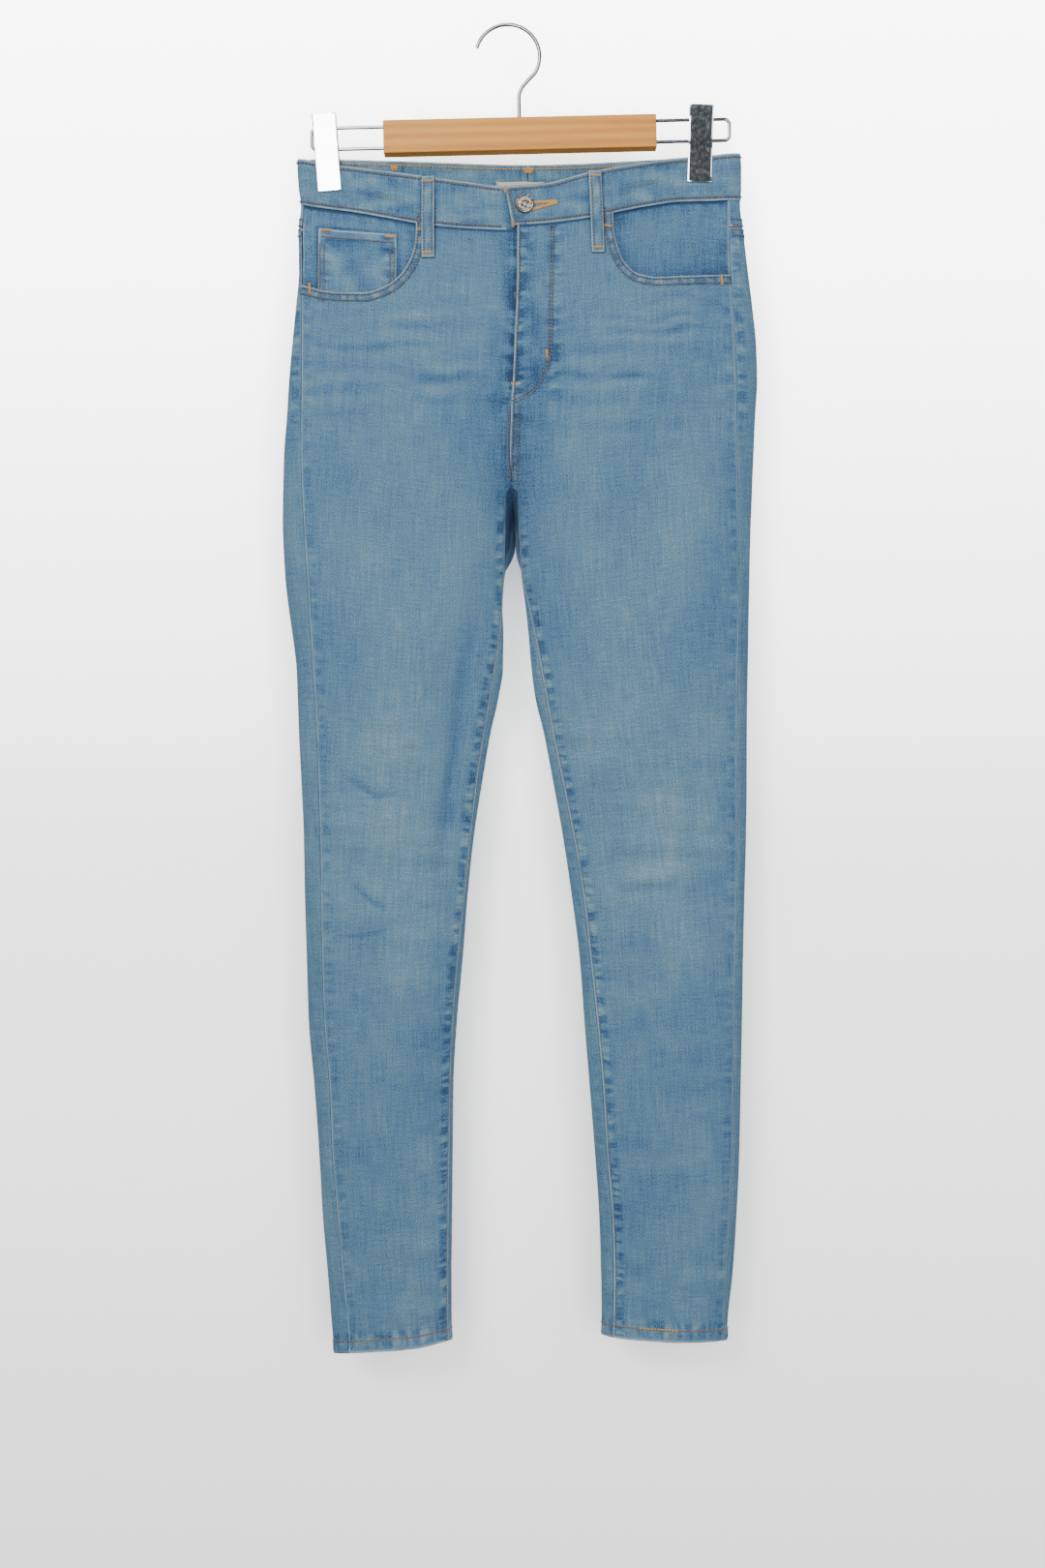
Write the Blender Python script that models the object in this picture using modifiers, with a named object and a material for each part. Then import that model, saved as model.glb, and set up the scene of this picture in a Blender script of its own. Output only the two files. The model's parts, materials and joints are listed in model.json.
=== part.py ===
"""High-waisted skinny jeans hanging by their waistband from a clip hanger.

Blender 4.5, metres, +Z up. The origin is the inside of the hook's bend, where the hanger rests.
The front of the jeans faces -Y. Left and right are the wearer's, so the right leg is at -X.

The sizes below are in millimetres. A drop is a distance below the origin. The two faces of the
jeans are height fields over x and drop, on either side of the middle plane y = 0. Each cloth
piece is an open sheet of points on one or both faces, with a wall on its inner side.
"""

import math

import bmesh
import bpy
import numpy as np
from mathutils import Matrix, Vector

MM = 0.001
GAP = 0.3              # between two pieces
SEAM = 0.32            # how far each of two panels stops short of their seam
LAYER = 0.75           # between two curved layers, whose facets aren't in step
CLOTH = 1.2            # one layer of stretch denim with its seam turnings
BAND_WALL = 2.4        # the waistband is two layers
BAND_PROUD = 0.6       # the waistband's outer face over the panels

# Where the two legs part, front and back
CROTCH_FRONT = 431.0
CROTCH_BACK = 483.0
CROTCH_FRONT_X = 4.6
CROTCH_BACK_X = 8.0
FORK_ABOVE = 60.0      # how far above the crotch the fork starts to shape the faces
FORK_BELOW = 90.0      # and how far below it each leg is a closed lens
NOTCH_OPENS = 4.0      # the legs are apart this far below the seat seam, in front
SEAT_OPENS = 34.0      # and at the back
INNER_TURN = 10.0      # the back panel's turn behind the inner edge of a leg
TURN_FULL = 573.0      # the drop at which that turn has its full width

# One row for each section of a leg: drop, outer edge, side seam, inseam, inner edge of the
# front and inner edge of the back. Above the crotch the last three are the fly and the seat seam.
RIGHT_LEG = (
    (118.0, -195.5, -192.6, 9.2, 9.2, 20.0),
    (147.0, -193.1, -190.2, 9.2, 9.2, 19.4),
    (167.0, -191.7, -189.2, 9.2, 9.2, 18.8),
    (194.0, -194.0, -190.6, 9.2, 9.2, 18.0),
    (228.0, -193.6, -190.4, 9.2, 9.2, 16.6),
    (261.0, -196.4, -190.6, 8.4, 8.4, 15.2),
    (300.0, -200.2, -190.6, 6.6, 6.6, 13.6),
    (331.0, -202.9, -190.6, 5.3, 5.3, 12.4),
    (363.0, -204.8, -191.0, 3.5, 3.5, 11.2),
    (400.0, -207.6, -190.8, 2.6, 2.6, 10.0),
    (431.0, -208.3, -189.9, 4.6, 4.6, 9.2),
    (435.0, -208.5, -189.6, 0.2, 0.2, 9.0),
    (462.0, -208.8, -188.1, -1.1, -1.1, 8.4),
    (483.0, -208.1, -187.0, -1.8, -1.8, 8.0),
    (492.0, -207.6, -186.4, -2.0, -2.0, 2.4),
    (516.0, -206.1, -184.9, -2.9, -2.9, -2.7),
    (543.0, -202.9, -183.3, -4.5, -4.2, -4.2),
    (565.0, -199.8, -181.8, -5.8, -3.2, -3.2),
    (597.0, -195.9, -180.0, -10.2, -3.6, -3.6),
    (624.0, -194.8, -178.4, -14.6, -7.7, -7.7),
    (660.0, -193.5, -176.1, -20.7, -15.7, -15.7),
    (696.0, -191.7, -174.8, -26.4, -21.8, -21.8),
    (750.0, -189.2, -173.1, -32.7, -30.2, -30.2),
    (808.0, -188.1, -172.3, -38.7, -36.5, -36.5),
    (867.0, -186.3, -171.2, -45.0, -41.0, -41.0),
    (925.0, -184.5, -169.2, -49.5, -46.5, -46.5),
    (984.0, -179.3, -164.3, -52.2, -49.7, -49.7),
    (1047.0, -174.8, -161.8, -53.1, -50.4, -50.4),
    (1106.0, -171.4, -157.0, -53.9, -50.9, -50.9),
    (1162.0, -166.5, -152.2, -54.1, -51.5, -51.5),
    (1200.0, -163.5, -148.5, -54.1, -51.3, -51.3),
    (1234.0, -160.8, -145.8, -53.6, -50.4, -50.4),
)
LEFT_LEG = (
    (118.0, 216.9, 204.3, 9.2, 9.2, 20.0),
    (147.0, 216.9, 204.3, 9.2, 9.2, 19.4),
    (167.0, 216.9, 204.8, 9.2, 9.2, 18.8),
    (194.0, 220.1, 206.1, 9.2, 9.2, 18.0),
    (228.0, 224.1, 207.0, 9.2, 9.2, 16.6),
    (261.0, 228.2, 208.8, 8.4, 8.4, 15.2),
    (300.0, 232.0, 211.0, 6.6, 6.6, 13.6),
    (331.0, 232.7, 212.3, 5.3, 5.3, 12.4),
    (363.0, 230.9, 212.8, 3.5, 3.5, 11.2),
    (400.0, 229.3, 213.3, 2.6, 2.6, 10.0),
    (431.0, 228.0, 214.0, 4.6, 4.6, 9.2),
    (435.0, 227.9, 214.1, 9.6, 9.6, 9.0),
    (462.0, 226.8, 214.6, 10.6, 10.6, 8.4),
    (483.0, 226.2, 214.9, 11.7, 11.7, 8.3),
    (492.0, 226.0, 215.0, 12.2, 12.2, 11.0),
    (516.0, 225.5, 215.3, 14.6, 14.4, 13.9),
    (543.0, 225.0, 215.3, 20.7, 17.6, 17.6),
    (565.0, 224.6, 214.9, 25.1, 19.8, 19.8),
    (597.0, 224.1, 214.2, 31.1, 22.5, 22.5),
    (624.0, 223.5, 213.9, 36.0, 26.1, 26.1),
    (660.0, 223.2, 213.5, 42.5, 34.6, 34.6),
    (696.0, 223.1, 213.4, 49.8, 41.4, 41.4),
    (750.0, 222.5, 213.8, 60.8, 51.3, 51.3),
    (808.0, 221.0, 213.4, 70.5, 60.0, 60.0),
    (867.0, 219.6, 212.4, 77.0, 67.5, 67.5),
    (925.0, 218.7, 211.5, 83.2, 71.7, 71.7),
    (984.0, 217.5, 210.6, 88.5, 76.5, 76.5),
    (1047.0, 216.2, 209.2, 92.3, 81.5, 81.5),
    (1106.0, 213.5, 207.0, 97.2, 85.5, 85.5),
    (1162.0, 209.7, 203.9, 98.7, 87.3, 87.3),
    (1200.0, 205.5, 202.0, 98.3, 87.9, 87.9),
    (1234.0, 204.1, 201.6, 98.0, 87.8, 87.8),
)
LEGS = {"right": RIGHT_LEG, "left": LEFT_LEG}
OUTER, SIDE, INSEAM, FRONT_IN, BACK_IN = 1, 2, 3, 4, 5

# How far the faces stand out from the middle plane: drop, front, back
DEPTHS = (
    (118.0, 25.0, 14.0),
    (200.0, 25.0, 18.0),
    (260.0, 25.5, 23.0),
    (330.0, 26.0, 27.0),
    (400.0, 25.0, 27.0),
    (470.0, 22.0, 25.0),
    (560.0, 20.0, 21.0),
    (700.0, 18.5, 18.5),
    (850.0, 17.5, 17.0),
    (1000.0, 15.5, 15.0),
    (1234.0, 13.0, 12.0),
)
LENS_POWER = 2.8       # a face is full across its middle
LENS_ROUND = 0.58      # and rounds over at its edges

# The waist, pinched flat in the two clips and bowed between them
PINCH_UNTIL = 156.0    # the drop to which the clips hold it
PINCH_GONE = 250.0     # the drop below which the clips no longer show
PINCH = 2.2            # the pinched faces, out from the middle plane
CLIP_X = {"right": -167.0, "left": 180.0}
CLIP_HALF = 14.5       # half the width that is held flat
BOW_FRONT = 21.5       # the slack front between the clips
BOW_BACK = 8.0         # the taut back
BOW_POWER = 0.9
EAR_DEPTH = 5.5        # the fold outside each clip

# Edges of the waistband along x: x, top drop, bottom drop
BAND_FRONT = {
    "right": (
        (-196.0, 123.5, 166.5),
        (-152.0, 130.3, 172.5),
        (-117.0, 136.5, 180.0),
        (-79.0, 142.9, 188.2),
        (-40.0, 149.6, 193.0),
        (0.0, 154.6, 195.0),
        (45.0, 154.6, 195.0),
    ),
    "left": (
        (-3.0, 154.6, 191.2),
        (32.0, 152.0, 188.8),
        (76.0, 140.2, 182.7),
        (128.0, 129.0, 170.5),
        (167.0, 122.5, 163.6),
        (217.0, 118.5, 162.5),
    ),
}
BAND_BACK = (
    (-196.0, 123.5, 166.5),
    (-111.0, 123.9, 166.3),
    (20.0, 126.6, 169.0),
    (141.0, 123.0, 165.2),
    (217.0, 118.5, 162.5),
)
BAND_LEVEL = 145.0     # the drop at which the band's stations are set out
BAND_SPREAD = 1.2      # they lie closer together towards the clips
BAND_END_TOP = -2.5    # the lapped end of the waistband slants from this x
BAND_END_BOTTOM = 4.9  # to this one
UNDERLAP_END = 36.0    # the end under it
UNDERLAP_X = (-16.0, -11.0, -7.0, -3.2, 4.0, 14.0, 25.0)  # its points after the side's own
UNDERLAP_DEEP = 3.3    # how far it lies behind

# Hem edges along x: x, drop
HEMS = {
    "right": ((-161.0, 1233.4), (-128.0, 1230.3), (-87.0, 1227.0), (-50.0, 1220.4)),
    "left": ((87.0, 1215.9), (110.0, 1218.6), (165.0, 1221.3), (205.0, 1221.3)),
}

# Drops of the rows of points, at the inner end of a row: the front above the crotch, the back
# above it, the inseam through the fork, and both faces of the legs below
FRONT_RISE = (200, 225, 250, 275, 305, 340, 375, 405)
BACK_RISE = (250, 285, 325, 370, 415, 455)
THIGH = (431, 436, 446, 462, 482, 508, 536, 566, 600)
SHIN = (640, 690, 750, 820, 890, 960, 1030, 1100, 1165, 1225)
SEAT_ROW = len(BACK_RISE)   # the back row that starts at the bottom of the seat seam
FRONT_COLUMNS = 8
BACK_COLUMNS = 11
THIGH_COLUMNS = 5      # from the inseam round to the back face
TURN_AT = 0.72         # share of the back columns before the outer edge
CORNER_TRIM = 2.5      # the back panel stops behind the front's wall at the inner thigh

# Back yoke seam: its drop at the seat seam and at the side
YOKE_CENTRE = 250.0
YOKE_SIDE = 188.0

# Front pocket openings: x, drop, from the waistband to the side seam
OPENINGS = {
    "right": ((-84.0, 175.0), (-84.5, 200.0), (-87.6, 215.9), (-96.1, 232.5),
              (-112.1, 245.8), (-131.3, 251.2), (-158.5, 250.0), (-197.0, 239.5)),
    "left": ((98.0, 170.0), (99.0, 190.0), (101.9, 207.5), (108.8, 224.1),
             (122.2, 235.0), (138.0, 237.4), (155.2, 236.4), (215.0, 232.5)),
}
OPENING_PAST = 30.0    # the cut runs on past the waistband and the side
FRONT_CUT = (-60.0, 4.0)   # from and to y, through the front face only
BACK_CUT = (-4.0, 70.0)    # and the back face only
FACING_TOP = 195.0     # the side seam is followed from this drop
FACING_SPREAD = 1.5    # its columns lie closer together towards the side
FACING_BELOW = 12.0    # the facing runs on behind the front panel
COIN = (-173.0, -102.0, 191.5, 200.0, 262.0)  # left x, right x, top left, top right, bottom

# Back pockets: middle and middle top, size and lean
BACK_POCKETS = {"right": (-95.0, 262.0, 4.0), "left": (127.0, 260.0, -4.0)}
BACK_POCKET_WIDTH = 138.0
BACK_POCKET_SIDE = 122.0
BACK_POCKET_POINT = 148.0
BACK_POCKET_NARROW = 7.0
BACK_POCKET_SPARE = 14.0   # the cloth it is cut from reaches this far past it

# Belt loops: middle x at top and bottom, top drop, bottom drop
LOOPS = {
    "loop_front_right": (-72.5, -72.5, 144.0, 220.5),
    "loop_front_left": (80.8, 84.0, 139.0, 216.0),
    "loop_back_right": (-105.0, -104.0, 121.5, 196.0),
    "loop_back_centre": (20.0, 18.5, 124.0, 199.0),
    "loop_back_left": (145.0, 143.0, 120.5, 194.5),
}
MIDDLE_X = 15.0        # between the two legs
LOOP_WIDTH = 12.0
LOOP_WALL = 1.6
LOOP_BOW = 1.4

# The fly, behind the front: x and drop of its zip, depths behind the front face
ZIP_X = 17.0
ZIP_TOP = 199.0
ZIP_BOTTOM = 325.0
ZIP_TAPE = 26.0
ZIP_TAPE_WALL = 1.0
ZIP_CHAIN = 5.0
ZIP_CHAIN_WALL = 1.5
SLIDER_LENGTH = 12.0
SHIELD_EDGES = (-4.0, 40.0)
SHIELD_BOTTOM = 340.0

LABEL = (-10.0, 35.0, 143.0, 162.0)   # x from, x to, top drop, bottom drop
LABEL_WALL = 1.0

BUTTON_X = 16.0
BUTTON_DROP = 171.3
BUTTON_RADIUS = 8.6
BUTTON_THICK = 3.2
# Its turned profile: share of the radius, height above its back
BUTTON_PROFILE = ((0.0, 1.5), (0.30, 1.7), (0.42, 2.5), (0.62, 2.2), (0.78, 2.4),
                  (0.9, BUTTON_THICK), (0.98, 2.9), (1.0, 1.2), (0.86, 0.0), (0.0, 0.0))
BUTTON_SPAN = 6.0      # the face's slope is read over this drop
BUTTON_STAND = 1.3     # its back stands this far off the panel's face

# The hanger, drawn level and then tilted about the hook
TILT = math.radians(1.33)
WIRE_RADIUS = 1.4
BAR_MIDDLE = (9.6, 102.2)
BAR_LENGTH = 253.5
BAR_HEIGHT = 30.6
BAR_DEPTH = 18.0
BAR_EDGE = 1.0
WIRE_ABOVE = 11.0
WIRE_BELOW = 8.8
WIRE_ENDS = {"right": -184.0, "left": 204.6}
WIRE_IN_BAR = 18.0
HOOK_RADIUS = 1.5
HOOK_BEND = 29.7
HOOK_TIP = 163.0       # degrees round the bend from +X
HOOK_LEAVES = -32.0
HOOK_STEM = ((17.4, 52.0), (11.8, 59.0), (9.6, 65.5), (9.4, 75.0), (9.4, 96.0))

# The clips: middle x and drop of the top edge, middle x of the bottom edge
CLIPS = {"right": (-170.2, 82.9, -164.4), "left": (181.0, 74.4, 178.7)}
CLIP_WIDTH = 22.4
CLIP_LENGTH = 71.5
CLIP_WALL = 1.2
# Inner face of a plate: distance along it, distance out from the middle plane
CLIP_PROFILE = ((0.0, 5.2), (6.0, 3.4), (11.0, 1.9), (34.0, 1.9), (38.5, 3.25), (66.0, 3.25),
                (71.5, 4.0))
PIVOT_RADIUS = 1.5
PIVOT_LENGTH = 15.0
PIVOT_ALONG = 22.2

DENIM = ("denim", (0.156, 0.302, 0.451), 0.88, 0.0)
ZIP_TAPE_CLOTH = ("zip tape", (0.10, 0.16, 0.24), 0.85, 0.0)
LABEL_CLOTH = ("label tape", (0.62, 0.55, 0.39), 0.8, 0.0)
NICKEL = ("antique nickel", (0.30, 0.28, 0.26), 0.35, 1.0)
BRASS = ("zip brass", (0.60, 0.43, 0.18), 0.35, 1.0)
CHROME = ("chrome", (0.80, 0.80, 0.82), 0.08, 1.0)
WOOD = ("lotus wood", (0.65, 0.37, 0.17), 0.42, 0.0)


# ---------------------------------------------------------------- curves through the tables

def follow(xs, ys, x):
    """A smooth curve through the points xs, ys that never overshoots them, at x."""
    xs = np.asarray(xs, float)
    ys = np.asarray(ys, float)
    x = np.clip(x, xs[0], xs[-1])
    steps = np.diff(xs)
    rise = np.diff(ys) / steps
    slope = np.zeros(len(xs))
    same_way = rise[:-1] * rise[1:] > 0
    total = np.where(same_way, rise[:-1] + rise[1:], 1.0)
    slope[1:-1] = np.where(same_way, 2 * rise[:-1] * rise[1:] / total, 0.0)
    slope[0] = rise[0]
    slope[-1] = rise[-1]
    k = np.clip(np.searchsorted(xs, x, side="right") - 1, 0, len(steps) - 1)
    t = (x - xs[k]) / steps[k]
    start = (1 + 2 * t) * (1 - t) ** 2 * ys[k] + t * (1 - t) ** 2 * steps[k] * slope[k]
    end = t * t * (3 - 2 * t) * ys[k + 1] - t * t * (1 - t) * steps[k] * slope[k + 1]
    return start + end


def column(table, number, at):
    """A table's column at a value of its first column."""
    return follow([row[0] for row in table], [row[number] for row in table], at)


def leg_line(leg, number, drop):
    return column(LEGS[leg], number, drop)


def ease(x, start, end):
    """0 before start, 1 after end, smooth between."""
    t = np.clip((x - start) / (end - start), 0.0, 1.0)
    return t * t * (3 - 2 * t)


# ---------------------------------------------------------------- the two faces

def lens(x, edge_a, edge_b):
    """A rounded profile, 1 in the middle and 0 at both edges."""
    t = np.clip(np.abs(2 * x - edge_a - edge_b) / np.abs(edge_b - edge_a), 0.0, 1.0)
    return (1 - t ** LENS_POWER) ** LENS_ROUND


def waist_depth(x, drop, bow):
    """The faces at the waist: flat in the clips, bowed between them, folded outside them."""
    start = CLIP_X["right"] + CLIP_HALF
    end = CLIP_X["left"] - CLIP_HALF
    across = np.clip((x - start) / (end - start), 0.0, 1.0)
    depth = PINCH + bow * np.sin(math.pi * across) ** BOW_POWER
    for leg, sign in (("right", -1), ("left", 1)):
        edge = leg_line(leg, OUTER, drop)
        clip = CLIP_X[leg] + sign * CLIP_HALF
        t = np.clip((edge - x) / (edge - clip), 0.0, 1.0)
        ear = EAR_DEPTH * np.sqrt(1 - (1 - t) ** 2) * (1 - (1 - PINCH / EAR_DEPTH) * t * t)
        depth = np.where((x - clip) * sign > 0, ear, depth)
    return depth


def face_depth(leg, x, drop, front):
    """How far the front or back face stands out from the middle plane."""
    crotch = CROTCH_FRONT if front else CROTCH_BACK
    inner = leg_line(leg, FRONT_IN if front else BACK_IN, drop)
    body = lens(x, leg_line("right", OUTER, drop), leg_line("left", OUTER, drop))
    one_leg = lens(x, leg_line(leg, OUTER, drop), inner)
    fork = ease(drop, crotch - FORK_ABOVE, crotch + FORK_BELOW)
    full = column(DEPTHS, 1 if front else 2, drop) * (body * (1 - fork) + one_leg * fork)
    hold = ease(drop, PINCH_UNTIL, PINCH_GONE)
    waist = waist_depth(x, drop, BOW_FRONT if front else BOW_BACK)
    return waist * (1 - hold) + full * hold


def on_front(leg, x, drop):
    return np.stack([x, -face_depth(leg, x, drop, True), -drop], axis=-1)


def on_back(leg, x, drop):
    return np.stack([x, face_depth(leg, x, drop, False), -drop], axis=-1)


def corner_x(leg, drop):
    """Where the back face starts: the seat seam, and below it just behind a leg's inner edge."""
    inward = -1 if leg == "right" else 1
    turn = INNER_TURN * ease(drop, CROTCH_BACK, TURN_FULL)
    return leg_line(leg, BACK_IN, drop) + inward * turn


def round_the_side(leg, share, drop):
    """A point on the way from the back face's inner end round the outer edge to the side seam."""
    share = np.asarray(share, float)
    outer = leg_line(leg, OUTER, drop)
    behind = np.clip(share / TURN_AT, 0.0, 1.0)
    ahead = np.clip((share - TURN_AT) / (1 - TURN_AT), 0.0, 1.0)
    x_behind = corner_x(leg, drop) + (outer - corner_x(leg, drop)) * np.sin(math.pi / 2 * behind)
    x_ahead = outer + (leg_line(leg, SIDE, drop) - outer) * ahead ** 2
    turned = (share > TURN_AT)[..., None]
    return np.where(turned, on_front(leg, x_ahead, drop), on_back(leg, x_behind, drop))


def inner_thigh(leg, share, drop):
    """A point on the way from the inseam round a leg's inner side to its back face."""
    x_inseam = leg_line(leg, INSEAM, drop)
    x_front = leg_line(leg, FRONT_IN, drop)
    x_back = leg_line(leg, BACK_IN, drop)
    bend = 1 - np.cos(np.linspace(0.0, math.pi / 2, 9))
    level = np.full(len(bend), drop)
    ahead = on_front(leg, x_front + (x_inseam - x_front) * bend[::-1], level)
    behind = on_back(leg, x_back + (corner_x(leg, drop) - x_back) * bend, level)
    path = np.concatenate([ahead, behind])
    along = np.concatenate([[0.0], np.cumsum(np.linalg.norm(np.diff(path, axis=0), axis=1))])
    point = np.array([np.interp(share * along[-1], along, path[:, k]) for k in range(3)])
    seam_drop = CROTCH_FRONT + (CROTCH_BACK - CROTCH_FRONT) * share
    seam_x = CROTCH_FRONT_X + (CROTCH_BACK_X - CROTCH_FRONT_X) * share
    opened = seam_drop + NOTCH_OPENS + (SEAT_OPENS - NOTCH_OPENS) * share
    parted = float(ease(drop, seam_drop, opened))
    side = -GAP / 2 if leg == "right" else GAP / 2
    point[0] = (seam_x + side) * (1 - parted) + point[0] * parted
    return point


# ---------------------------------------------------------------- making pieces

def collection(name):
    group = bpy.data.collections.new(name)
    bpy.context.scene.collection.children.link(group)
    return group


def material(look):
    name, colour, roughness, metallic = look
    made = bpy.data.materials.get(name)
    if made is None:
        made = bpy.data.materials.new(name)
        made.use_nodes = True
        shader = made.node_tree.nodes["Principled BSDF"]
        shader.inputs["Base Color"].default_value = (*colour, 1.0)
        shader.inputs["Roughness"].default_value = roughness
        shader.inputs["Metallic"].default_value = metallic
    return made


def add_object(name, data, look=None, cutter=False):
    piece = bpy.data.objects.new(name, data)
    (CUTTERS if cutter else PARTS).objects.link(piece)
    if cutter:
        piece.hide_render = True
        piece.display_type = "WIRE"
    else:
        piece.parent = HOLDER
    if look:
        data.materials.append(material(look))
    return piece


def trimmed(points, start=0.0, end=0.0, top=0.0, bottom=0.0):
    """The grid of points with each side drawn in, so that it stops short of its seam."""
    points = points.copy()

    def draw_in(edge, beside, amount):
        way = beside - edge
        length = np.linalg.norm(way, axis=-1, keepdims=True)
        return edge + way / np.maximum(length, 1e-9) * np.reshape(amount, (-1, 1))

    points[:, 0] = draw_in(points[:, 0], points[:, 1], start)
    points[:, -1] = draw_in(points[:, -1], points[:, -2], end)
    points[0] = draw_in(points[0], points[1], top)
    points[-1] = draw_in(points[-1], points[-2], bottom)
    return points


def moved_out(points, outward, distance):
    """The grid of points moved along the sheet's normals."""
    down = np.gradient(points, axis=0)
    across = np.gradient(points, axis=1)
    normal = np.cross(down, across)
    normal /= np.linalg.norm(normal, axis=-1, keepdims=True)
    if np.nansum(normal @ np.array(outward)) < 0:
        normal = -normal
    return points + normal * np.asarray(distance)[..., None]


def sheet(name, points, outward, wall, look, cutter_shape=None, keep="DIFFERENCE"):
    """A cloth piece: a grid laid on the points, with a wall on its inner side.

    A grid point that isn't a number is left out.
    """
    rows, columns = points.shape[0] - 1, points.shape[1] - 1
    bm = bmesh.new()
    bmesh.ops.create_grid(bm, x_segments=columns, y_segments=rows, size=0.5)
    left_out = []
    for vertex in bm.verts:
        place = points[round((0.5 - vertex.co.y) * rows), round((vertex.co.x + 0.5) * columns)]
        if np.isnan(place[0]):
            left_out.append(vertex)
        else:
            vertex.co = Vector(place) * MM
    bmesh.ops.delete(bm, geom=left_out, context="VERTS")
    bm.normal_update()
    facing = sum((face.normal * face.calc_area() for face in bm.faces), Vector())
    if facing.dot(Vector(outward)) < 0:
        bmesh.ops.reverse_faces(bm, faces=bm.faces[:])
    mesh = bpy.data.meshes.new(name)
    bm.to_mesh(mesh)
    bm.free()
    mesh.shade_smooth()
    piece = add_object(name, mesh, look)
    thick = piece.modifiers.new("wall", "SOLIDIFY")
    thick.thickness = wall * MM
    thick.offset = -1.0
    if cutter_shape:
        cut = piece.modifiers.new("cut", "BOOLEAN")
        cut.operation = keep
        cut.solver = "EXACT"
        cut.object = cutter_shape
    return piece


def prism(name, outline, y_from, y_to, look=None):
    """A flat outline of x and drop, extruded along y. A cutter unless it has a look."""
    curve = bpy.data.curves.new(name, "CURVE")
    curve.dimensions = "2D"
    curve.fill_mode = "BOTH"
    curve.extrude = (y_to - y_from) / 2 * MM
    spline = curve.splines.new("POLY")
    spline.points.add(len(outline) - 1)
    for point, (x, drop) in zip(spline.points, outline):
        point.co = (x * MM, -drop * MM, 0.0, 1.0)
    spline.use_cyclic_u = True
    standing = bpy.data.objects.new(name + "_outline", curve)
    bpy.context.scene.collection.objects.link(standing)
    bpy.context.view_layer.update()
    graph = bpy.context.evaluated_depsgraph_get()
    mesh = bpy.data.meshes.new_from_object(standing.evaluated_get(graph))
    bpy.data.objects.remove(standing)
    bm = bmesh.new()
    bm.from_mesh(mesh)
    bmesh.ops.remove_doubles(bm, verts=bm.verts, dist=1e-6)
    bm.to_mesh(mesh)
    bm.free()
    piece = add_object(name, mesh, look, cutter=look is None)
    piece.rotation_euler = (math.pi / 2, 0.0, 0.0)
    piece.location = (0.0, (y_from + y_to) / 2 * MM, 0.0)
    return piece


def tube(name, points, radius, look, cutter=False):
    """A round wire through points of x, y and drop."""
    curve = bpy.data.curves.new(name, "CURVE")
    curve.dimensions = "3D"
    curve.bevel_depth = radius * MM
    curve.bevel_resolution = 2
    curve.use_fill_caps = True
    spline = curve.splines.new("POLY")
    spline.points.add(len(points) - 1)
    for point, (x, y, drop) in zip(spline.points, points):
        point.co = (x * MM, y * MM, -drop * MM, 1.0)
    return add_object(name, curve, look, cutter=cutter)


# ---------------------------------------------------------------- panels

def hem_drop(leg, x):
    return column(HEMS[leg], 1, x)


def band_bottom(leg, x, front):
    return column(BAND_FRONT[leg] if front else BAND_BACK, 2, x)


def opening_outline(leg, raised):
    """A front pocket's opening, closed above the waistband and past the side."""
    edge = [(x, drop - raised) for x, drop in OPENINGS[leg]]
    past = edge[-1][0] + math.copysign(OPENING_PAST, edge[-1][0])
    above = edge[0][1] - OPENING_PAST
    return edge + [(past, edge[-1][1]), (past, above), (edge[0][0], above)]


def front_panel(leg):
    """From the fly or crotch seam and the inseam to the side seam, waistband to hem."""
    share = np.linspace(0.0, 1.0, FRONT_COLUMNS + 1)
    share = 0.5 * share + 0.25 * (1 - np.cos(math.pi * share))
    first = float(band_bottom(leg, leg_line(leg, INSEAM, FRONT_RISE[0]), True))
    last = float(hem_drop(leg, leg_line(leg, INSEAM, SHIN[-1])))
    rows = []
    for drop in (first,) + FRONT_RISE[1:] + THIGH + SHIN[:-1] + (last,):
        down = (drop - first) / (last - first)
        drops = np.full(len(share), float(drop))
        for _ in range(2):
            inner = leg_line(leg, INSEAM, drops)
            x = inner + (leg_line(leg, SIDE, drops) - inner) * share
            top = band_bottom(leg, x, True)
            drops = top + (hem_drop(leg, x) - top) * down
        rows.append(on_front(leg, x, drops))
    points = trimmed(np.array(rows), start=SEAM, end=SEAM, top=SEAM)
    opening = prism(f"opening_{leg}", opening_outline(leg, 0.0), *FRONT_CUT)
    return sheet(f"front_{leg}", points, (0, -1, 0), CLOTH, DENIM, opening)


def yoke_seam(share):
    """The drop of the yoke seam, from the seat seam round to the side seam."""
    return YOKE_CENTRE + (YOKE_SIDE - YOKE_CENTRE) * np.sin(math.pi / 2 * np.clip(share / TURN_AT, 0, 1))


def wrap_rows(leg, drops_at, shares, count):
    """Rows of points round the side of the jeans; drops_at gives a row's drops."""
    rows = []
    for row in range(count + 1):
        drops = np.full(len(shares), YOKE_SIDE)
        for _ in range(2):
            points = round_the_side(leg, shares, drops)
            drops = drops_at(row / count, points[:, 0], points[:, 1] < 0)
        rows.append(round_the_side(leg, shares, drops))
    return np.array(rows)


def around_bottom(leg, x, ahead):
    return np.where(ahead, band_bottom(leg, x, True), band_bottom(leg, x, False))


def back_shares():
    share = np.linspace(0.0, 1.0, BACK_COLUMNS + 1)
    nearest = np.argmin(np.abs(share - TURN_AT))
    share[nearest] = TURN_AT
    return share


def yoke(leg):
    share = back_shares()

    def drops_at(down, x, ahead):
        top = around_bottom(leg, x, ahead)
        return top + (yoke_seam(share) - top) * down

    points = wrap_rows(leg, drops_at, share, 3)
    points = trimmed(points, start=SEAM, end=SEAM, top=SEAM, bottom=SEAM)
    return sheet(f"yoke_{leg}", points, (0, 1, 0), CLOTH, DENIM)


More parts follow.
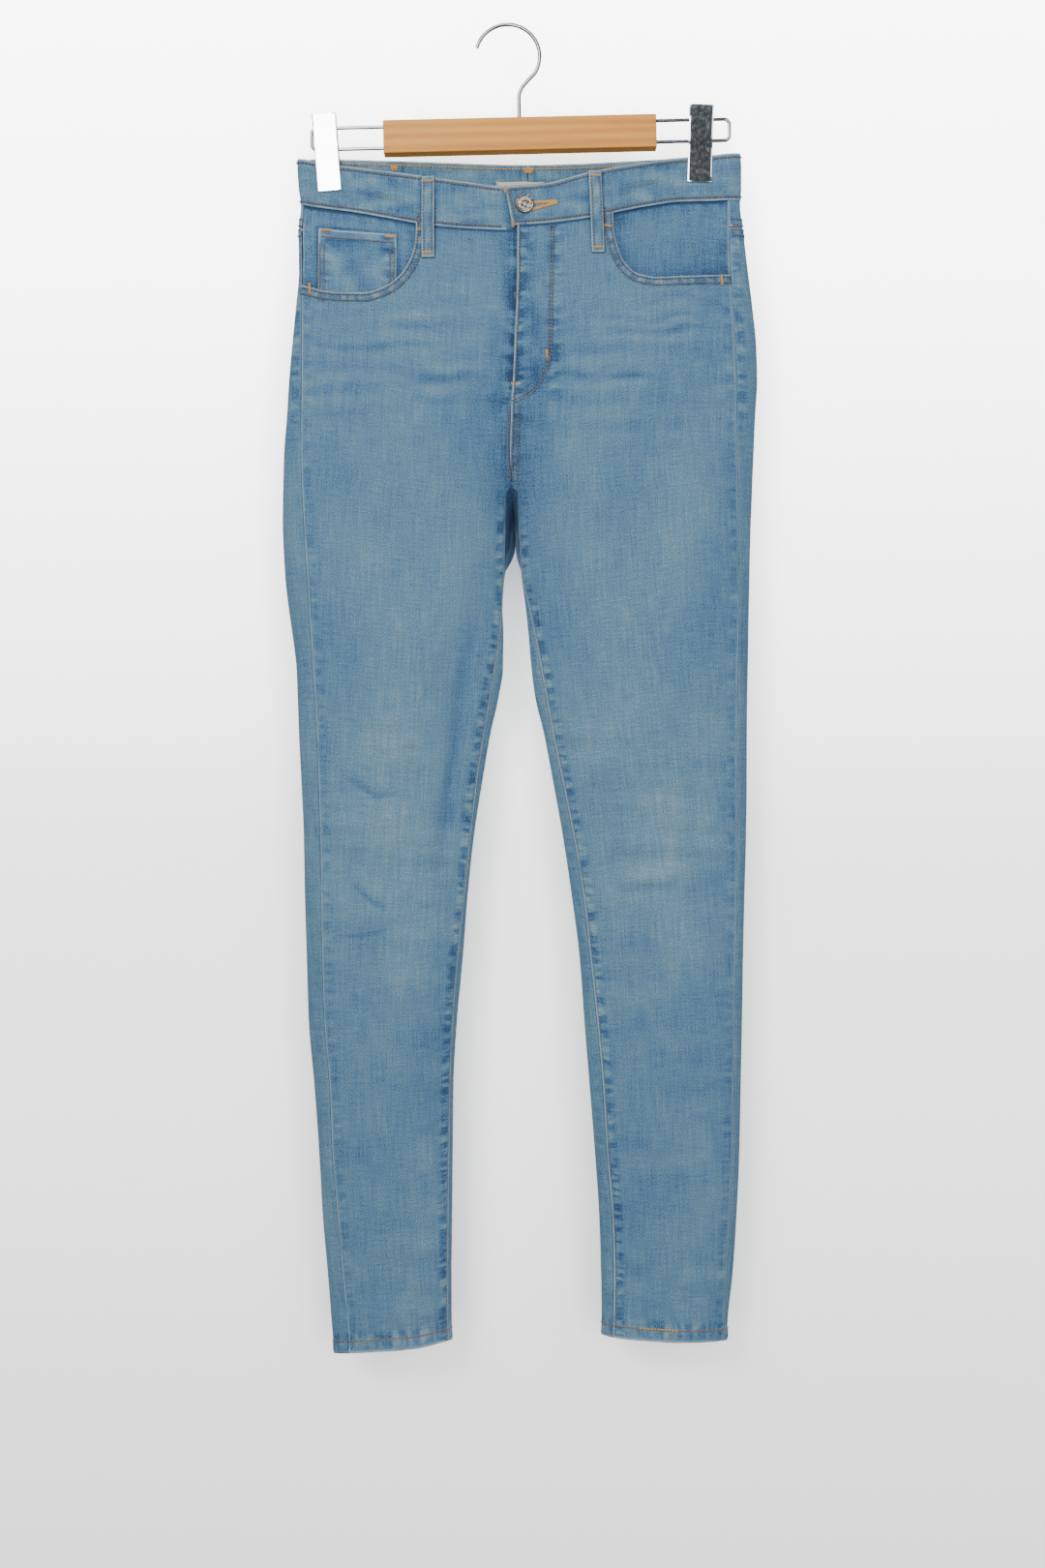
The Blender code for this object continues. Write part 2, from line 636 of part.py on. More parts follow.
def back_panel(leg):
    """From the seat seam and inseam round the back and the outer edge to the side seam."""
    share = back_shares()
    last = float(hem_drop(leg, corner_x(leg, SHIN[-1])))
    even = THIGH[-1]
    reach = [(drop - CROTCH_FRONT) / (even - CROTCH_FRONT) for drop in THIGH]
    fork = tuple(CROTCH_BACK + (even - CROTCH_BACK) * part for part in reach)
    levels = BACK_RISE + fork + SHIN[:-1] + (last,)
    grid = np.full((len(levels), THIGH_COLUMNS + len(share), 3), np.nan)
    for row, drop in enumerate(levels):
        down = (drop - levels[0]) / (last - levels[0])
        drops = np.full(len(share), float(drop))
        for _ in range(2):
            x = round_the_side(leg, share, drops)[:, 0]
            top = yoke_seam(share)
            drops = top + (hem_drop(leg, x) - top) * down
        grid[row, THIGH_COLUMNS:] = round_the_side(leg, share, drops)
        if row < SEAT_ROW:
            continue
        for k in range(THIGH_COLUMNS):
            around = k / THIGH_COLUMNS
            seam = CROTCH_FRONT + (CROTCH_BACK - CROTCH_FRONT) * around
            if drop < even:
                level = seam + (even - seam) * reach[row - SEAT_ROW]
            else:
                x = inner_thigh(leg, around, drop)[0]
                hem_shift = hem_drop(leg, x) - last
                level = drop + hem_shift * (drop - even) / (last - even)
            grid[row, k] = inner_thigh(leg, around, level)
    grid = trimmed(grid, top=SEAM, end=SEAM)
    near = grid[:, 0]
    way = grid[:, 1] - near
    way /= np.linalg.norm(way, axis=-1, keepdims=True)
    amount = SEAM + (CORNER_TRIM - SEAM) * (1 - ease(-near[:, 2], THIGH[-3], THIGH[-1]))
    grid[:, 0] = near + way * amount[:, None]
    seat = grid[:SEAT_ROW + 1, THIGH_COLUMNS]
    beside = grid[:SEAT_ROW + 1, THIGH_COLUMNS + 1] - seat
    seat += beside / np.linalg.norm(beside, axis=-1, keepdims=True) * SEAM
    return sheet(f"back_{leg}", grid, (0, 1, 0), CLOTH, DENIM)


def waistband(leg):
    """From the centre back round the side to the fly, standing just proud of the panels."""
    sign = -1 if leg == "right" else 1
    clip_inner = CLIP_X[leg] - sign * CLIP_HALF
    clip_outer = CLIP_X[leg] + sign * CLIP_HALF
    lapped = leg == "left"
    rows = []
    for down in np.linspace(0.0, 1.0, 4):
        outer = float(leg_line(leg, OUTER, BAND_LEVEL))
        centre = float(leg_line(leg, BACK_IN, BAND_LEVEL))
        end = BAND_END_TOP + (BAND_END_BOTTOM - BAND_END_TOP) * down if lapped else UNDERLAP_X[0]
        ear = outer + (clip_outer - outer) * (1 - np.cos(math.pi / 2 * np.linspace(0.0, 1.0, 4)))
        bow = np.linspace(0.0, 1.0, 8) ** BAND_SPREAD
        x_behind = np.concatenate([(clip_inner + (centre - clip_inner) * bow)[::-1], ear[::-1]])
        x_ahead = np.concatenate([ear[1:], clip_inner + (end - clip_inner) * bow])
        under = () if lapped else UNDERLAP_X[1:] + (UNDERLAP_END,)
        rows_x = np.concatenate([x_behind, x_ahead, under])
        front = np.arange(len(rows_x)) >= len(x_behind)
        top = np.where(front, column(BAND_FRONT[leg], 1, rows_x), column(BAND_BACK, 1, rows_x))
        bottom = around_bottom(leg, rows_x, front)
        drops = top + (bottom - top) * down
        shift = leg_line(leg, OUTER, drops) - outer
        near_edge = np.clip(1 - np.abs(rows_x - outer) / abs(clip_outer - outer), 0.0, 1.0)
        rows_x = rows_x + shift * near_edge
        place = np.where(front[:, None], on_front(leg, rows_x, drops), on_back(leg, rows_x, drops))
        rows.append(place)
    points = trimmed(np.array(rows), start=SEAM, bottom=SEAM)
    out = np.full(points.shape[:2], BAND_PROUD)
    if not lapped:
        out -= UNDERLAP_DEEP * (points[..., 1] < 0) * ease(points[..., 0], UNDERLAP_X[0], UNDERLAP_X[3])
    points, outward = lifted(points, out)
    return sheet(f"waistband_{leg}", points, outward, BAND_WALL, DENIM)


def lifted(points, amount):
    """Points moved out of the tube, forward in front and back behind, and their average way out."""
    normal = np.cross(np.gradient(points, axis=0), np.gradient(points, axis=1))
    normal /= np.linalg.norm(normal, axis=-1, keepdims=True)
    normal *= np.sign(np.sum(normal[..., 1] * np.sign(points[..., 1])))
    return points + normal * amount[..., None], tuple(np.sum(normal, axis=(0, 1)))


# ---------------------------------------------------------------- pieces laid on a face

def patch(leg, x_edges, drop_edges, columns, rows, front):
    """A grid on one face; the edges are functions of how far down or across it is."""
    grid = np.zeros((rows + 1, columns + 1, 3))
    for row in range(rows + 1):
        for col in range(columns + 1):
            x = x_edges(col / columns, row / rows)
            drop = drop_edges(col / columns, row / rows, x)
            grid[row, col] = on_front(leg, x, drop) if front else on_back(leg, x, drop)
    return grid


def facing(leg):
    """The hip piece that shows in a front pocket's opening."""
    inner = OPENINGS[leg][0][0]
    inner -= math.copysign(FACING_BELOW, inner)
    bottom = max(drop for _, drop in OPENINGS[leg]) + FACING_BELOW

    def x_edges(across, down):
        side = float(leg_line(leg, SIDE, FACING_TOP + (bottom - FACING_TOP) * down))
        return inner + (side - inner) * (1 - (1 - across) ** FACING_SPREAD)

    def drop_edges(across, down, x):
        top = float(band_bottom(leg, x, True))
        return top + (bottom - top) * down

    points = patch(leg, x_edges, drop_edges, 8, 5, True)
    points = trimmed(points, end=LAYER, top=GAP)
    points = moved_out(points, (0, -1, 0), np.full(points.shape[:2], -CLOTH - LAYER))
    return sheet(f"facing_{leg}", points, (0, -1, 0), CLOTH, DENIM)


def coin_pocket():
    left, right, top_left, top_right, bottom = COIN

    def x_edges(across, down):
        return left + (right - left) * across

    def drop_edges(across, down, x):
        top = top_left + (top_right - top_left) * across
        return top + (bottom - top) * down

    points = patch("right", x_edges, drop_edges, 5, 5, True)
    inside = prism("coin_pocket_limit", opening_outline("right", SEAM), *FRONT_CUT)
    return sheet("coin_pocket", points, (0, -1, 0), CLOTH, DENIM, inside, "INTERSECT")


def back_pocket(leg):
    """A plain patch pocket with a pointed bottom."""
    middle, top, lean = BACK_POCKETS[leg]
    lean = math.radians(lean)
    half = BACK_POCKET_WIDTH / 2
    shape = ((-half, 0.0), (half, 0.0), (half - BACK_POCKET_NARROW, BACK_POCKET_SIDE),
             (0.0, BACK_POCKET_POINT), (BACK_POCKET_NARROW - half, BACK_POCKET_SIDE))
    outline = [(middle + x * math.cos(lean) - drop * math.sin(lean),
                top + x * math.sin(lean) + drop * math.cos(lean)) for x, drop in shape]
    reach = half + BACK_POCKET_SPARE

    def x_edges(across, down):
        return middle - reach + 2 * reach * across

    def drop_edges(across, down, x):
        return top - BACK_POCKET_SPARE + (BACK_POCKET_POINT + 2 * BACK_POCKET_SPARE) * down

    points = patch(leg, x_edges, drop_edges, 7, 7, False)
    points = moved_out(points, (0, 1, 0), np.full(points.shape[:2], LAYER + CLOTH))
    limit = prism(f"back_pocket_limit_{leg}", outline, *BACK_CUT)
    return sheet(f"back_pocket_{leg}", points, (0, 1, 0), CLOTH, DENIM, limit, "INTERSECT")


def belt_loop(name):
    """A folded strip over the waistband, tacked down at both ends."""
    top_x, bottom_x, top, bottom = LOOPS[name]
    front = "front" in name
    leg = "right" if top_x < MIDDLE_X else "left"
    out = 1 if not front else -1

    def x_edges(across, down):
        return top_x + (bottom_x - top_x) * down + LOOP_WIDTH * (across - 0.5)

    def drop_edges(across, down, x):
        return top + (bottom - top) * down

    points = patch(leg, x_edges, drop_edges, 2, 10, front)
    down = np.linspace(0.0, 1.0, 11)[:, None]
    clear = BAND_PROUD + GAP + LOOP_WALL + LOOP_BOW * np.sin(math.pi * down) ** 2
    points = moved_out(points, (0, out, 0), np.broadcast_to(clear, points.shape[:2]))
    return sheet(name, points, (0, out, 0), LOOP_WALL, DENIM)


def behind_fly(name, x_from, x_to, top, bottom, depth, wall, look, columns, rows):
    """A strip that follows the front face at a depth behind it."""
    points = patch("left", lambda across, down: x_from + (x_to - x_from) * across,
                   lambda across, down, x: top + (bottom - top) * down, columns, rows, True)
    points = moved_out(points, (0, -1, 0), np.full(points.shape[:2], -depth))
    return sheet(name, points, (0, -1, 0), wall, look)


def fly():
    """The zip and the shield behind it, between the two fronts."""
    tape_depth = CLOTH + 2 * GAP
    chain_depth = tape_depth + ZIP_TAPE_WALL + GAP
    shield_depth = chain_depth + ZIP_CHAIN_WALL + GAP
    behind_fly("zip_tape", ZIP_X - ZIP_TAPE / 2, ZIP_X + ZIP_TAPE / 2, ZIP_TOP, ZIP_BOTTOM,
               tape_depth, ZIP_TAPE_WALL, ZIP_TAPE_CLOTH, 3, 10)
    half = ZIP_CHAIN / 2
    chain_top = ZIP_TOP + SLIDER_LENGTH + GAP
    chain_bottom = ZIP_BOTTOM - 2 * half
    behind_fly("zip_chain", ZIP_X - half, ZIP_X + half, chain_top, chain_bottom,
               chain_depth, ZIP_CHAIN_WALL, BRASS, 1, 9)
    behind_fly("zip_slider", ZIP_X - 2 * half, ZIP_X + 2 * half, ZIP_TOP, ZIP_TOP + SLIDER_LENGTH,
               chain_depth, ZIP_CHAIN_WALL, BRASS, 2, 2)
    behind_fly("fly_shield", *SHIELD_EDGES, ZIP_TOP, SHIELD_BOTTOM, shield_depth, CLOTH, DENIM, 4, 10)


def label():
    """A bare tape label on the inside of the back waistband."""
    x_from, x_to, top, bottom = LABEL
    points = patch("right", lambda across, down: x_from + (x_to - x_from) * across,
                   lambda across, down, x: top + (bottom - top) * down, 4, 3, False)
    depth = BAND_WALL - BAND_PROUD + GAP + LABEL_WALL
    points = moved_out(points, (0, 1, 0), np.full(points.shape[:2], -depth))
    return sheet("label", points, (0, -1, 0), LABEL_WALL, LABEL_CLOTH)


def button():
    """A turned cap with a raised rim and a dimpled middle, face towards -Y."""
    mesh = bpy.data.meshes.new("button")
    bm = bmesh.new()
    ring = [bm.verts.new((share * BUTTON_RADIUS * MM, 0.0, height * MM))
            for share, height in BUTTON_PROFILE]
    for first, second in zip(ring, ring[1:]):
        bm.edges.new((first, second))
    bmesh.ops.spin(bm, geom=bm.verts[:] + bm.edges[:], cent=(0, 0, 0), axis=(0, 0, 1),
                   angle=2 * math.pi, steps=28, use_merge=True)
    bmesh.ops.remove_doubles(bm, verts=bm.verts, dist=1e-6)
    bmesh.ops.recalc_face_normals(bm, faces=bm.faces)
    bm.to_mesh(mesh)
    bm.free()
    mesh.shade_smooth()
    mesh.set_sharp_from_angle(angle=math.radians(40))
    piece = add_object("button", mesh, NICKEL)
    here = on_front("left", np.array(BUTTON_X), np.array(BUTTON_DROP))
    below = on_front("left", np.array(BUTTON_X), np.array(BUTTON_DROP + BUTTON_SPAN))
    lean = math.atan2(below[1] - here[1], BUTTON_SPAN)
    piece.rotation_euler = (math.pi / 2 - lean, 0.0, 0.0)
    piece.location = Vector((here[0], here[1] - BUTTON_STAND, here[2])) * MM


# ---------------------------------------------------------------- the hanger

def tilted(piece):
    """Turns a level hanger piece about the hook, right end of the view up."""
    piece.rotation_euler = (0.0, -TILT, 0.0)
    return piece


def wire_loop(leg):
    """Two parallel wires from the bar that meet in a round end."""
    sign = -1 if leg == "right" else 1
    upper = BAR_MIDDLE[1] - WIRE_ABOVE
    lower = BAR_MIDDLE[1] + WIRE_BELOW
    radius = (lower - upper) / 2
    end = WIRE_ENDS[leg] - sign * radius
    start = BAR_MIDDLE[0] + sign * (BAR_LENGTH / 2 - WIRE_IN_BAR)
    bend = [(end + sign * radius * math.sin(a), 0.0, (upper + lower) / 2 - radius * math.cos(a))
            for a in np.linspace(0.0, math.pi, 11)]
    return [(start, 0.0, upper)] + bend + [(start, 0.0, lower)]


def hook_path():
    """The bend about its own centre, then the stem down into the bar."""
    centre = HOOK_BEND - HOOK_RADIUS
    angles = np.radians(np.linspace(HOOK_TIP, HOOK_LEAVES, 22))
    bend = [(HOOK_BEND * math.cos(a), 0.0, centre - HOOK_BEND * math.sin(a)) for a in angles]
    return bend + [(x, 0.0, drop) for x, drop in HOOK_STEM]


def drill(bar, name, inner, outer, radius):
    """Cuts a hole in the bar for a wire, a little wider and deeper than the wire."""
    deeper = (Vector(inner) - Vector(outer)).normalized()
    hole = tilted(tube(name, [outer, tuple(Vector(inner) + deeper)], radius + 2 * GAP, None, True))
    bpy.context.view_layer.update()
    graph = bpy.context.evaluated_depsgraph_get()
    mesh = bpy.data.meshes.new_from_object(hole.evaluated_get(graph))
    turned = hole.matrix_world.copy()
    bpy.data.objects.remove(hole)
    bm = bmesh.new()
    bm.from_mesh(mesh)
    bmesh.ops.remove_doubles(bm, verts=bm.verts, dist=1e-6)
    bm.to_mesh(mesh)
    bm.free()
    cutter = add_object(name, mesh, cutter=True)
    cutter.matrix_world = turned
    cut = bar.modifiers.new(name, "BOOLEAN")
    cut.operation = "DIFFERENCE"
    cut.object = cutter


def hanger():
    """Bar with drilled holes, two wire loops and the hook."""
    bpy.ops.mesh.primitive_cube_add(size=1.0)
    bar = bpy.context.object
    bar.name = "hanger_bar"
    for group in list(bar.users_collection):
        group.objects.unlink(bar)
    PARTS.objects.link(bar)
    bar.parent = HOLDER
    for vertex in bar.data.vertices:
        vertex.co.x *= BAR_LENGTH * MM
        vertex.co.y *= BAR_DEPTH * MM
        vertex.co.z *= BAR_HEIGHT * MM
        vertex.co += Vector((BAR_MIDDLE[0], 0.0, -BAR_MIDDLE[1])) * MM
    bar.data.materials.append(material(WOOD))
    edge = bar.modifiers.new("edge", "BEVEL")
    edge.width = BAR_EDGE * MM
    edge.segments = 2
    drill(bar, "hook_hole", hook_path()[-1], hook_path()[-2], HOOK_RADIUS)
    for leg in LEGS:
        path = wire_loop(leg)
        drill(bar, f"wire_hole_upper_{leg}", path[0], path[1], WIRE_RADIUS)
        drill(bar, f"wire_hole_lower_{leg}", path[-1], path[-2], WIRE_RADIUS)
        tilted(tube(f"hanger_wire_{leg}", path, WIRE_RADIUS, CHROME))
    tilted(bar)
    tilted(tube("hanger_hook", hook_path(), HOOK_RADIUS, CHROME))


def clip(leg):
    """Two bent plates that grip the waistband under the wires, and the pivot between them."""
    top_x, top_drop, bottom_x = CLIPS[leg]
    lean = math.atan2(bottom_x - top_x, CLIP_LENGTH)
    turn = Vector((math.cos(lean), 0.0, math.sin(lean)))
    down = Vector((math.sin(lean), 0.0, -math.cos(lean)))
    out = Vector((0.0, 1.0, 0.0))
    for side, sign in (("front", -1), ("back", 1)):
        inner = [(sign * out, along) for along, out in CLIP_PROFILE]
        outer = [(sign * (out + CLIP_WALL), along) for along, out in CLIP_PROFILE]
        piece = prism(f"clip_{leg}_{side}", inner + outer[::-1], -CLIP_WIDTH / 2, CLIP_WIDTH / 2, CHROME)
        piece.rotation_euler = Matrix((out, -down, turn)).transposed().to_euler()
        piece.location = Vector((top_x, 0.0, -top_drop)) * MM
    middle = Vector((top_x, 0.0, -top_drop)) + down * PIVOT_ALONG
    ends = [middle - turn * PIVOT_LENGTH / 2, middle + turn * PIVOT_LENGTH / 2]
    tube(f"clip_{leg}_pivot", [(p.x, p.y, -p.z) for p in ends], PIVOT_RADIUS, CHROME)


for old in list(bpy.data.objects):
    bpy.data.objects.remove(old, do_unlink=True)

PARTS = collection("skinny_jeans")
CUTTERS = collection("cutters")
HOLDER = bpy.data.objects.new("jeans_on_hanger", None)
PARTS.objects.link(HOLDER)

for which in LEGS:
    front_panel(which)
    back_panel(which)
    yoke(which)
    waistband(which)
    facing(which)
    back_pocket(which)
coin_pocket()
for loop_name in LOOPS:
    belt_loop(loop_name)
fly()
label()
button()
hanger()
for which in LEGS:
    clip(which)
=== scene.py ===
import functools
import json
import math

import bmesh
import bpy
import numpy as np
from mathutils import Matrix, Vector

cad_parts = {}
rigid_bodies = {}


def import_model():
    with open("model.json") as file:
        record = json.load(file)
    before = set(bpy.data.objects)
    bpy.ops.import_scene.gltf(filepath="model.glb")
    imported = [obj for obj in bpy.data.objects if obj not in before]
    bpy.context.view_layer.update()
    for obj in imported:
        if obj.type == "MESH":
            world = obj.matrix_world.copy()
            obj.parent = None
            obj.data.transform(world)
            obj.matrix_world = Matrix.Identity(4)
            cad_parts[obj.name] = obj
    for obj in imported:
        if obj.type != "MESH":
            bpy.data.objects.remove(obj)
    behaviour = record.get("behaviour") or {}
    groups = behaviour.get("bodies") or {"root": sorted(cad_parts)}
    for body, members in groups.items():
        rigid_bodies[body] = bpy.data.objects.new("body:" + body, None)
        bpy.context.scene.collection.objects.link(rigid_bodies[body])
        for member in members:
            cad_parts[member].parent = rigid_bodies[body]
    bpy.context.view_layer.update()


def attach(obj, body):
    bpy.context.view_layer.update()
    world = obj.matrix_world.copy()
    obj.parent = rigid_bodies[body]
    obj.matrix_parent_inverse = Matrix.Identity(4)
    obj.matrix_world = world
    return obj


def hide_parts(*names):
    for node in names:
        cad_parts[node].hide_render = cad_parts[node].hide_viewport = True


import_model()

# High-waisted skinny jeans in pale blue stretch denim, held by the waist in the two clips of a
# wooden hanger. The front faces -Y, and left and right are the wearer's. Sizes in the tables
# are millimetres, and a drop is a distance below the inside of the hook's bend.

MM = 0.001
CLOTH = 1.2            # one layer of denim with its turnings
BAND_WALL = 2.4
BAND_PROUD = 0.7       # the waistband stands over the panels
MEET = 0.12            # what two panels leave between them
STEP = 2.8             # rows of points on a leg

CROTCH_FRONT = 431.0
CROTCH_BACK = 483.0
CROTCH_FRONT_X = 4.6
CROTCH_BACK_X = 8.0
FORK_ABOVE = 60.0
FORK_BELOW = 90.0
NOTCH_OPENS = 4.0
SEAT_OPENS = 34.0
INNER_TURN = 10.0
TURN_FULL = 573.0
EVEN = 600.0           # below this drop a leg's rows are level

# Sections of a leg: drop, outer edge, side seam, inseam, inner edge in front and at the back
RIGHT_LEG = (
    (118.0, -195.5, -192.6, 9.2, 9.2, 20.0),
    (147.0, -193.1, -190.2, 9.2, 9.2, 19.4),
    (167.0, -191.7, -189.2, 9.2, 9.2, 18.8),
    (194.0, -194.0, -190.6, 9.2, 9.2, 18.0),
    (228.0, -193.6, -190.4, 9.2, 9.2, 16.6),
    (261.0, -196.4, -190.6, 8.4, 8.4, 15.2),
    (300.0, -200.2, -190.6, 6.6, 6.6, 13.6),
    (331.0, -202.9, -190.6, 5.3, 5.3, 12.4),
    (363.0, -204.8, -191.0, 3.5, 3.5, 11.2),
    (400.0, -207.6, -190.8, 2.6, 2.6, 10.0),
    (431.0, -208.3, -189.9, 4.6, 4.6, 9.2),
    (435.0, -208.5, -189.6, 0.2, 0.2, 9.0),
    (462.0, -208.8, -188.1, -1.1, -1.1, 8.4),
    (483.0, -208.1, -187.0, -1.8, -1.8, 8.0),
    (492.0, -207.6, -186.4, -2.0, -2.0, 2.4),
    (516.0, -206.1, -184.9, -2.9, -2.9, -2.7),
    (543.0, -202.9, -183.3, -4.5, -4.2, -4.2),
    (565.0, -199.8, -181.8, -5.8, -3.2, -3.2),
    (597.0, -195.9, -180.0, -10.2, -3.6, -3.6),
    (624.0, -194.8, -178.4, -14.6, -7.7, -7.7),
    (660.0, -193.5, -176.1, -20.7, -15.7, -15.7),
    (696.0, -191.7, -174.8, -26.4, -21.8, -21.8),
    (750.0, -189.2, -173.1, -32.7, -30.2, -30.2),
    (808.0, -188.1, -172.3, -38.7, -36.5, -36.5),
    (867.0, -186.3, -171.2, -45.0, -41.0, -41.0),
    (925.0, -184.5, -169.2, -49.5, -46.5, -46.5),
    (984.0, -179.3, -164.3, -52.2, -49.7, -49.7),
    (1047.0, -174.8, -161.8, -53.1, -50.4, -50.4),
    (1106.0, -171.4, -157.0, -53.9, -50.9, -50.9),
    (1162.0, -166.5, -152.2, -54.1, -51.5, -51.5),
    (1200.0, -163.5, -148.5, -54.1, -51.3, -51.3),
    (1234.0, -160.8, -145.8, -53.6, -50.4, -50.4),
)
LEFT_LEG = (
    (118.0, 216.9, 204.3, 9.2, 9.2, 20.0),
    (147.0, 216.9, 204.3, 9.2, 9.2, 19.4),
    (167.0, 216.9, 204.8, 9.2, 9.2, 18.8),
    (194.0, 220.1, 206.1, 9.2, 9.2, 18.0),
    (228.0, 224.1, 207.0, 9.2, 9.2, 16.6),
    (261.0, 228.2, 208.8, 8.4, 8.4, 15.2),
    (300.0, 232.0, 211.0, 6.6, 6.6, 13.6),
    (331.0, 232.7, 212.3, 5.3, 5.3, 12.4),
    (363.0, 230.9, 212.8, 3.5, 3.5, 11.2),
    (400.0, 229.3, 213.3, 2.6, 2.6, 10.0),
    (431.0, 228.0, 214.0, 4.6, 4.6, 9.2),
    (435.0, 227.9, 214.1, 9.6, 9.6, 9.0),
    (462.0, 226.8, 214.6, 10.6, 10.6, 8.4),
    (483.0, 226.2, 214.9, 11.7, 11.7, 8.3),
    (492.0, 226.0, 215.0, 12.2, 12.2, 11.0),
    (516.0, 225.5, 215.3, 14.6, 14.4, 13.9),
    (543.0, 225.0, 215.3, 20.7, 17.6, 17.6),
    (565.0, 224.6, 214.9, 25.1, 19.8, 19.8),
    (597.0, 224.1, 214.2, 31.1, 22.5, 22.5),
    (624.0, 223.5, 213.9, 36.0, 26.1, 26.1),
    (660.0, 223.2, 213.5, 42.5, 34.6, 34.6),
    (696.0, 223.1, 213.4, 49.8, 41.4, 41.4),
    (750.0, 222.5, 213.8, 60.8, 51.3, 51.3),
    (808.0, 221.0, 213.4, 70.5, 60.0, 60.0),
    (867.0, 219.6, 212.4, 77.0, 67.5, 67.5),
    (925.0, 218.7, 211.5, 83.2, 71.7, 71.7),
    (984.0, 217.5, 210.6, 88.5, 76.5, 76.5),
    (1047.0, 216.2, 209.2, 92.3, 81.5, 81.5),
    (1106.0, 213.5, 207.0, 97.2, 85.5, 85.5),
    (1162.0, 209.7, 203.9, 98.7, 87.3, 87.3),
    (1200.0, 205.5, 202.0, 98.3, 87.9, 87.9),
    (1234.0, 204.1, 201.6, 98.0, 87.8, 87.8),
)
LEGS = {"right": RIGHT_LEG, "left": LEFT_LEG}
OUTER, SIDE, INSEAM, FRONT_IN, BACK_IN = 1, 2, 3, 4, 5

# How far the faces stand out from the middle plane: drop, front, back
DEPTHS = (
    (118.0, 25.0, 14.0),
    (200.0, 25.0, 18.0),
    (260.0, 25.5, 23.0),
    (330.0, 26.0, 27.0),
    (400.0, 25.0, 27.0),
    (470.0, 22.0, 25.0),
    (560.0, 20.0, 21.0),
    (700.0, 18.5, 18.5),
    (850.0, 17.5, 17.0),
    (1000.0, 15.5, 15.0),
    (1234.0, 13.0, 12.0),
)
LENS_POWER = 2.8
LENS_ROUND = 0.58
PINCH_UNTIL = 156.0
PINCH_GONE = 250.0
PINCH = 2.2
CLIP_X = {"right": -167.0, "left": 180.0}
CLIP_HALF = 14.5
BOW_FRONT = 21.5
BOW_BACK = 8.0
BOW_POWER = 0.9
EAR_DEPTH = 5.5

# Edges of the waistband: x, top drop, bottom drop
BAND_FRONT = {
    "right": (
        (-196.0, 123.5, 166.5),
        (-152.0, 130.3, 172.5),
        (-117.0, 136.5, 180.0),
        (-79.0, 142.9, 188.2),
        (-40.0, 149.6, 193.0),
        (0.0, 154.6, 195.0),
        (45.0, 154.6, 195.0),
    ),
    "left": (
        (-3.0, 154.6, 191.2),
        (32.0, 152.0, 188.8),
        (76.0, 140.2, 182.7),
        (128.0, 129.0, 170.5),
        (167.0, 122.5, 163.6),
        (217.0, 118.5, 162.5),
    ),
}
BAND_BACK = (
    (-196.0, 123.5, 166.5),
    (-111.0, 123.9, 166.3),
    (20.0, 126.6, 169.0),
    (141.0, 123.0, 165.2),
    (217.0, 118.5, 162.5),
)
BAND_END_TOP = -2.5
BAND_END_BOTTOM = 4.9
UNDERLAP = (-16.0, 36.0)
UNDERLAP_DEEP = 3.3
HEMS = {
    "right": ((-161.0, 1233.4), (-128.0, 1230.3), (-87.0, 1227.0), (-50.0, 1220.4)),
    "left": ((87.0, 1215.9), (110.0, 1218.6), (165.0, 1221.3), (205.0, 1221.3)),
}
HEM_DEEP = 11.5
TURN_AT = 0.72
YOKE_CENTRE = 250.0
YOKE_SIDE = 188.0
OPENINGS = {
    "right": ((-84.0, 175.0), (-84.5, 200.0), (-87.6, 215.9), (-96.1, 232.5),
              (-112.1, 245.8), (-131.3, 251.2), (-158.5, 250.0), (-197.0, 239.5)),
    "left": ((98.0, 170.0), (99.0, 190.0), (101.9, 207.5), (108.8, 224.1),
             (122.2, 235.0), (138.0, 237.4), (155.2, 236.4), (215.0, 232.5)),
}
OPENING_PAST = 30.0
POCKET_HEM = 9.5       # the turned edge of a front pocket's opening
COIN = (-175.5, -101.6, 188.2, 197.2, 262.0)
BACK_POCKETS = {"right": (-95.0, 262.0, 4.0), "left": (127.0, 260.0, -4.0)}
BACK_POCKET = (138.0, 122.0, 148.0, 7.0)   # width, side, point, how much narrower below
LOOPS = {
    "loop_front_right": (-72.5, -72.5, 144.0, 220.5),
    "loop_front_left": (80.8, 84.0, 139.0, 216.0),
    "loop_back_right": (-105.0, -104.0, 121.5, 196.0),
    "loop_back_centre": (20.0, 18.5, 124.0, 199.0),
    "loop_back_left": (145.0, 143.0, 120.5, 194.5),
}
# Where a painted shadow darkens the band beside a loop: x, and whether in front
LOOP_SHADOWS = ((-72.5, True), (81.5, True), (-104.5, False), (19.3, False), (144.5, False))
# The back loops' tacks inside the band: x, drop, length
INNER_TACKS = ((-105.0, 129.5, 5.5), (20.0, 131.0, 8.6), (144.0, 128.5, 5.5))
LOOP_WIDTH = 12.0
LOOP_WALL = 1.6
LABEL = (-10.0, 35.0, 143.0, 162.0)
BUTTON = (16.0, 171.3)
BEAD_RING = 5.35       # radius of the ring of beads on the button
FLY_BOTTOM = 356.0
FLY_ENDS = (345.0, 362.0)     # the lap over the fly runs out between these drops
SHIELD = (-4.0, 40.0, 199.0, 340.0)
SHIELD_DEEP = 5.2      # behind the front's face
# The fly's J row, x and drop
J_LINE = ((42.9, 190.0), (42.4, 220.0), (42.0, 251.1), (41.5, 280.0), (41.1, 304.5),
          (37.5, 322.3), (27.4, 341.4), (14.0, 351.0), (3.9, 356.1))
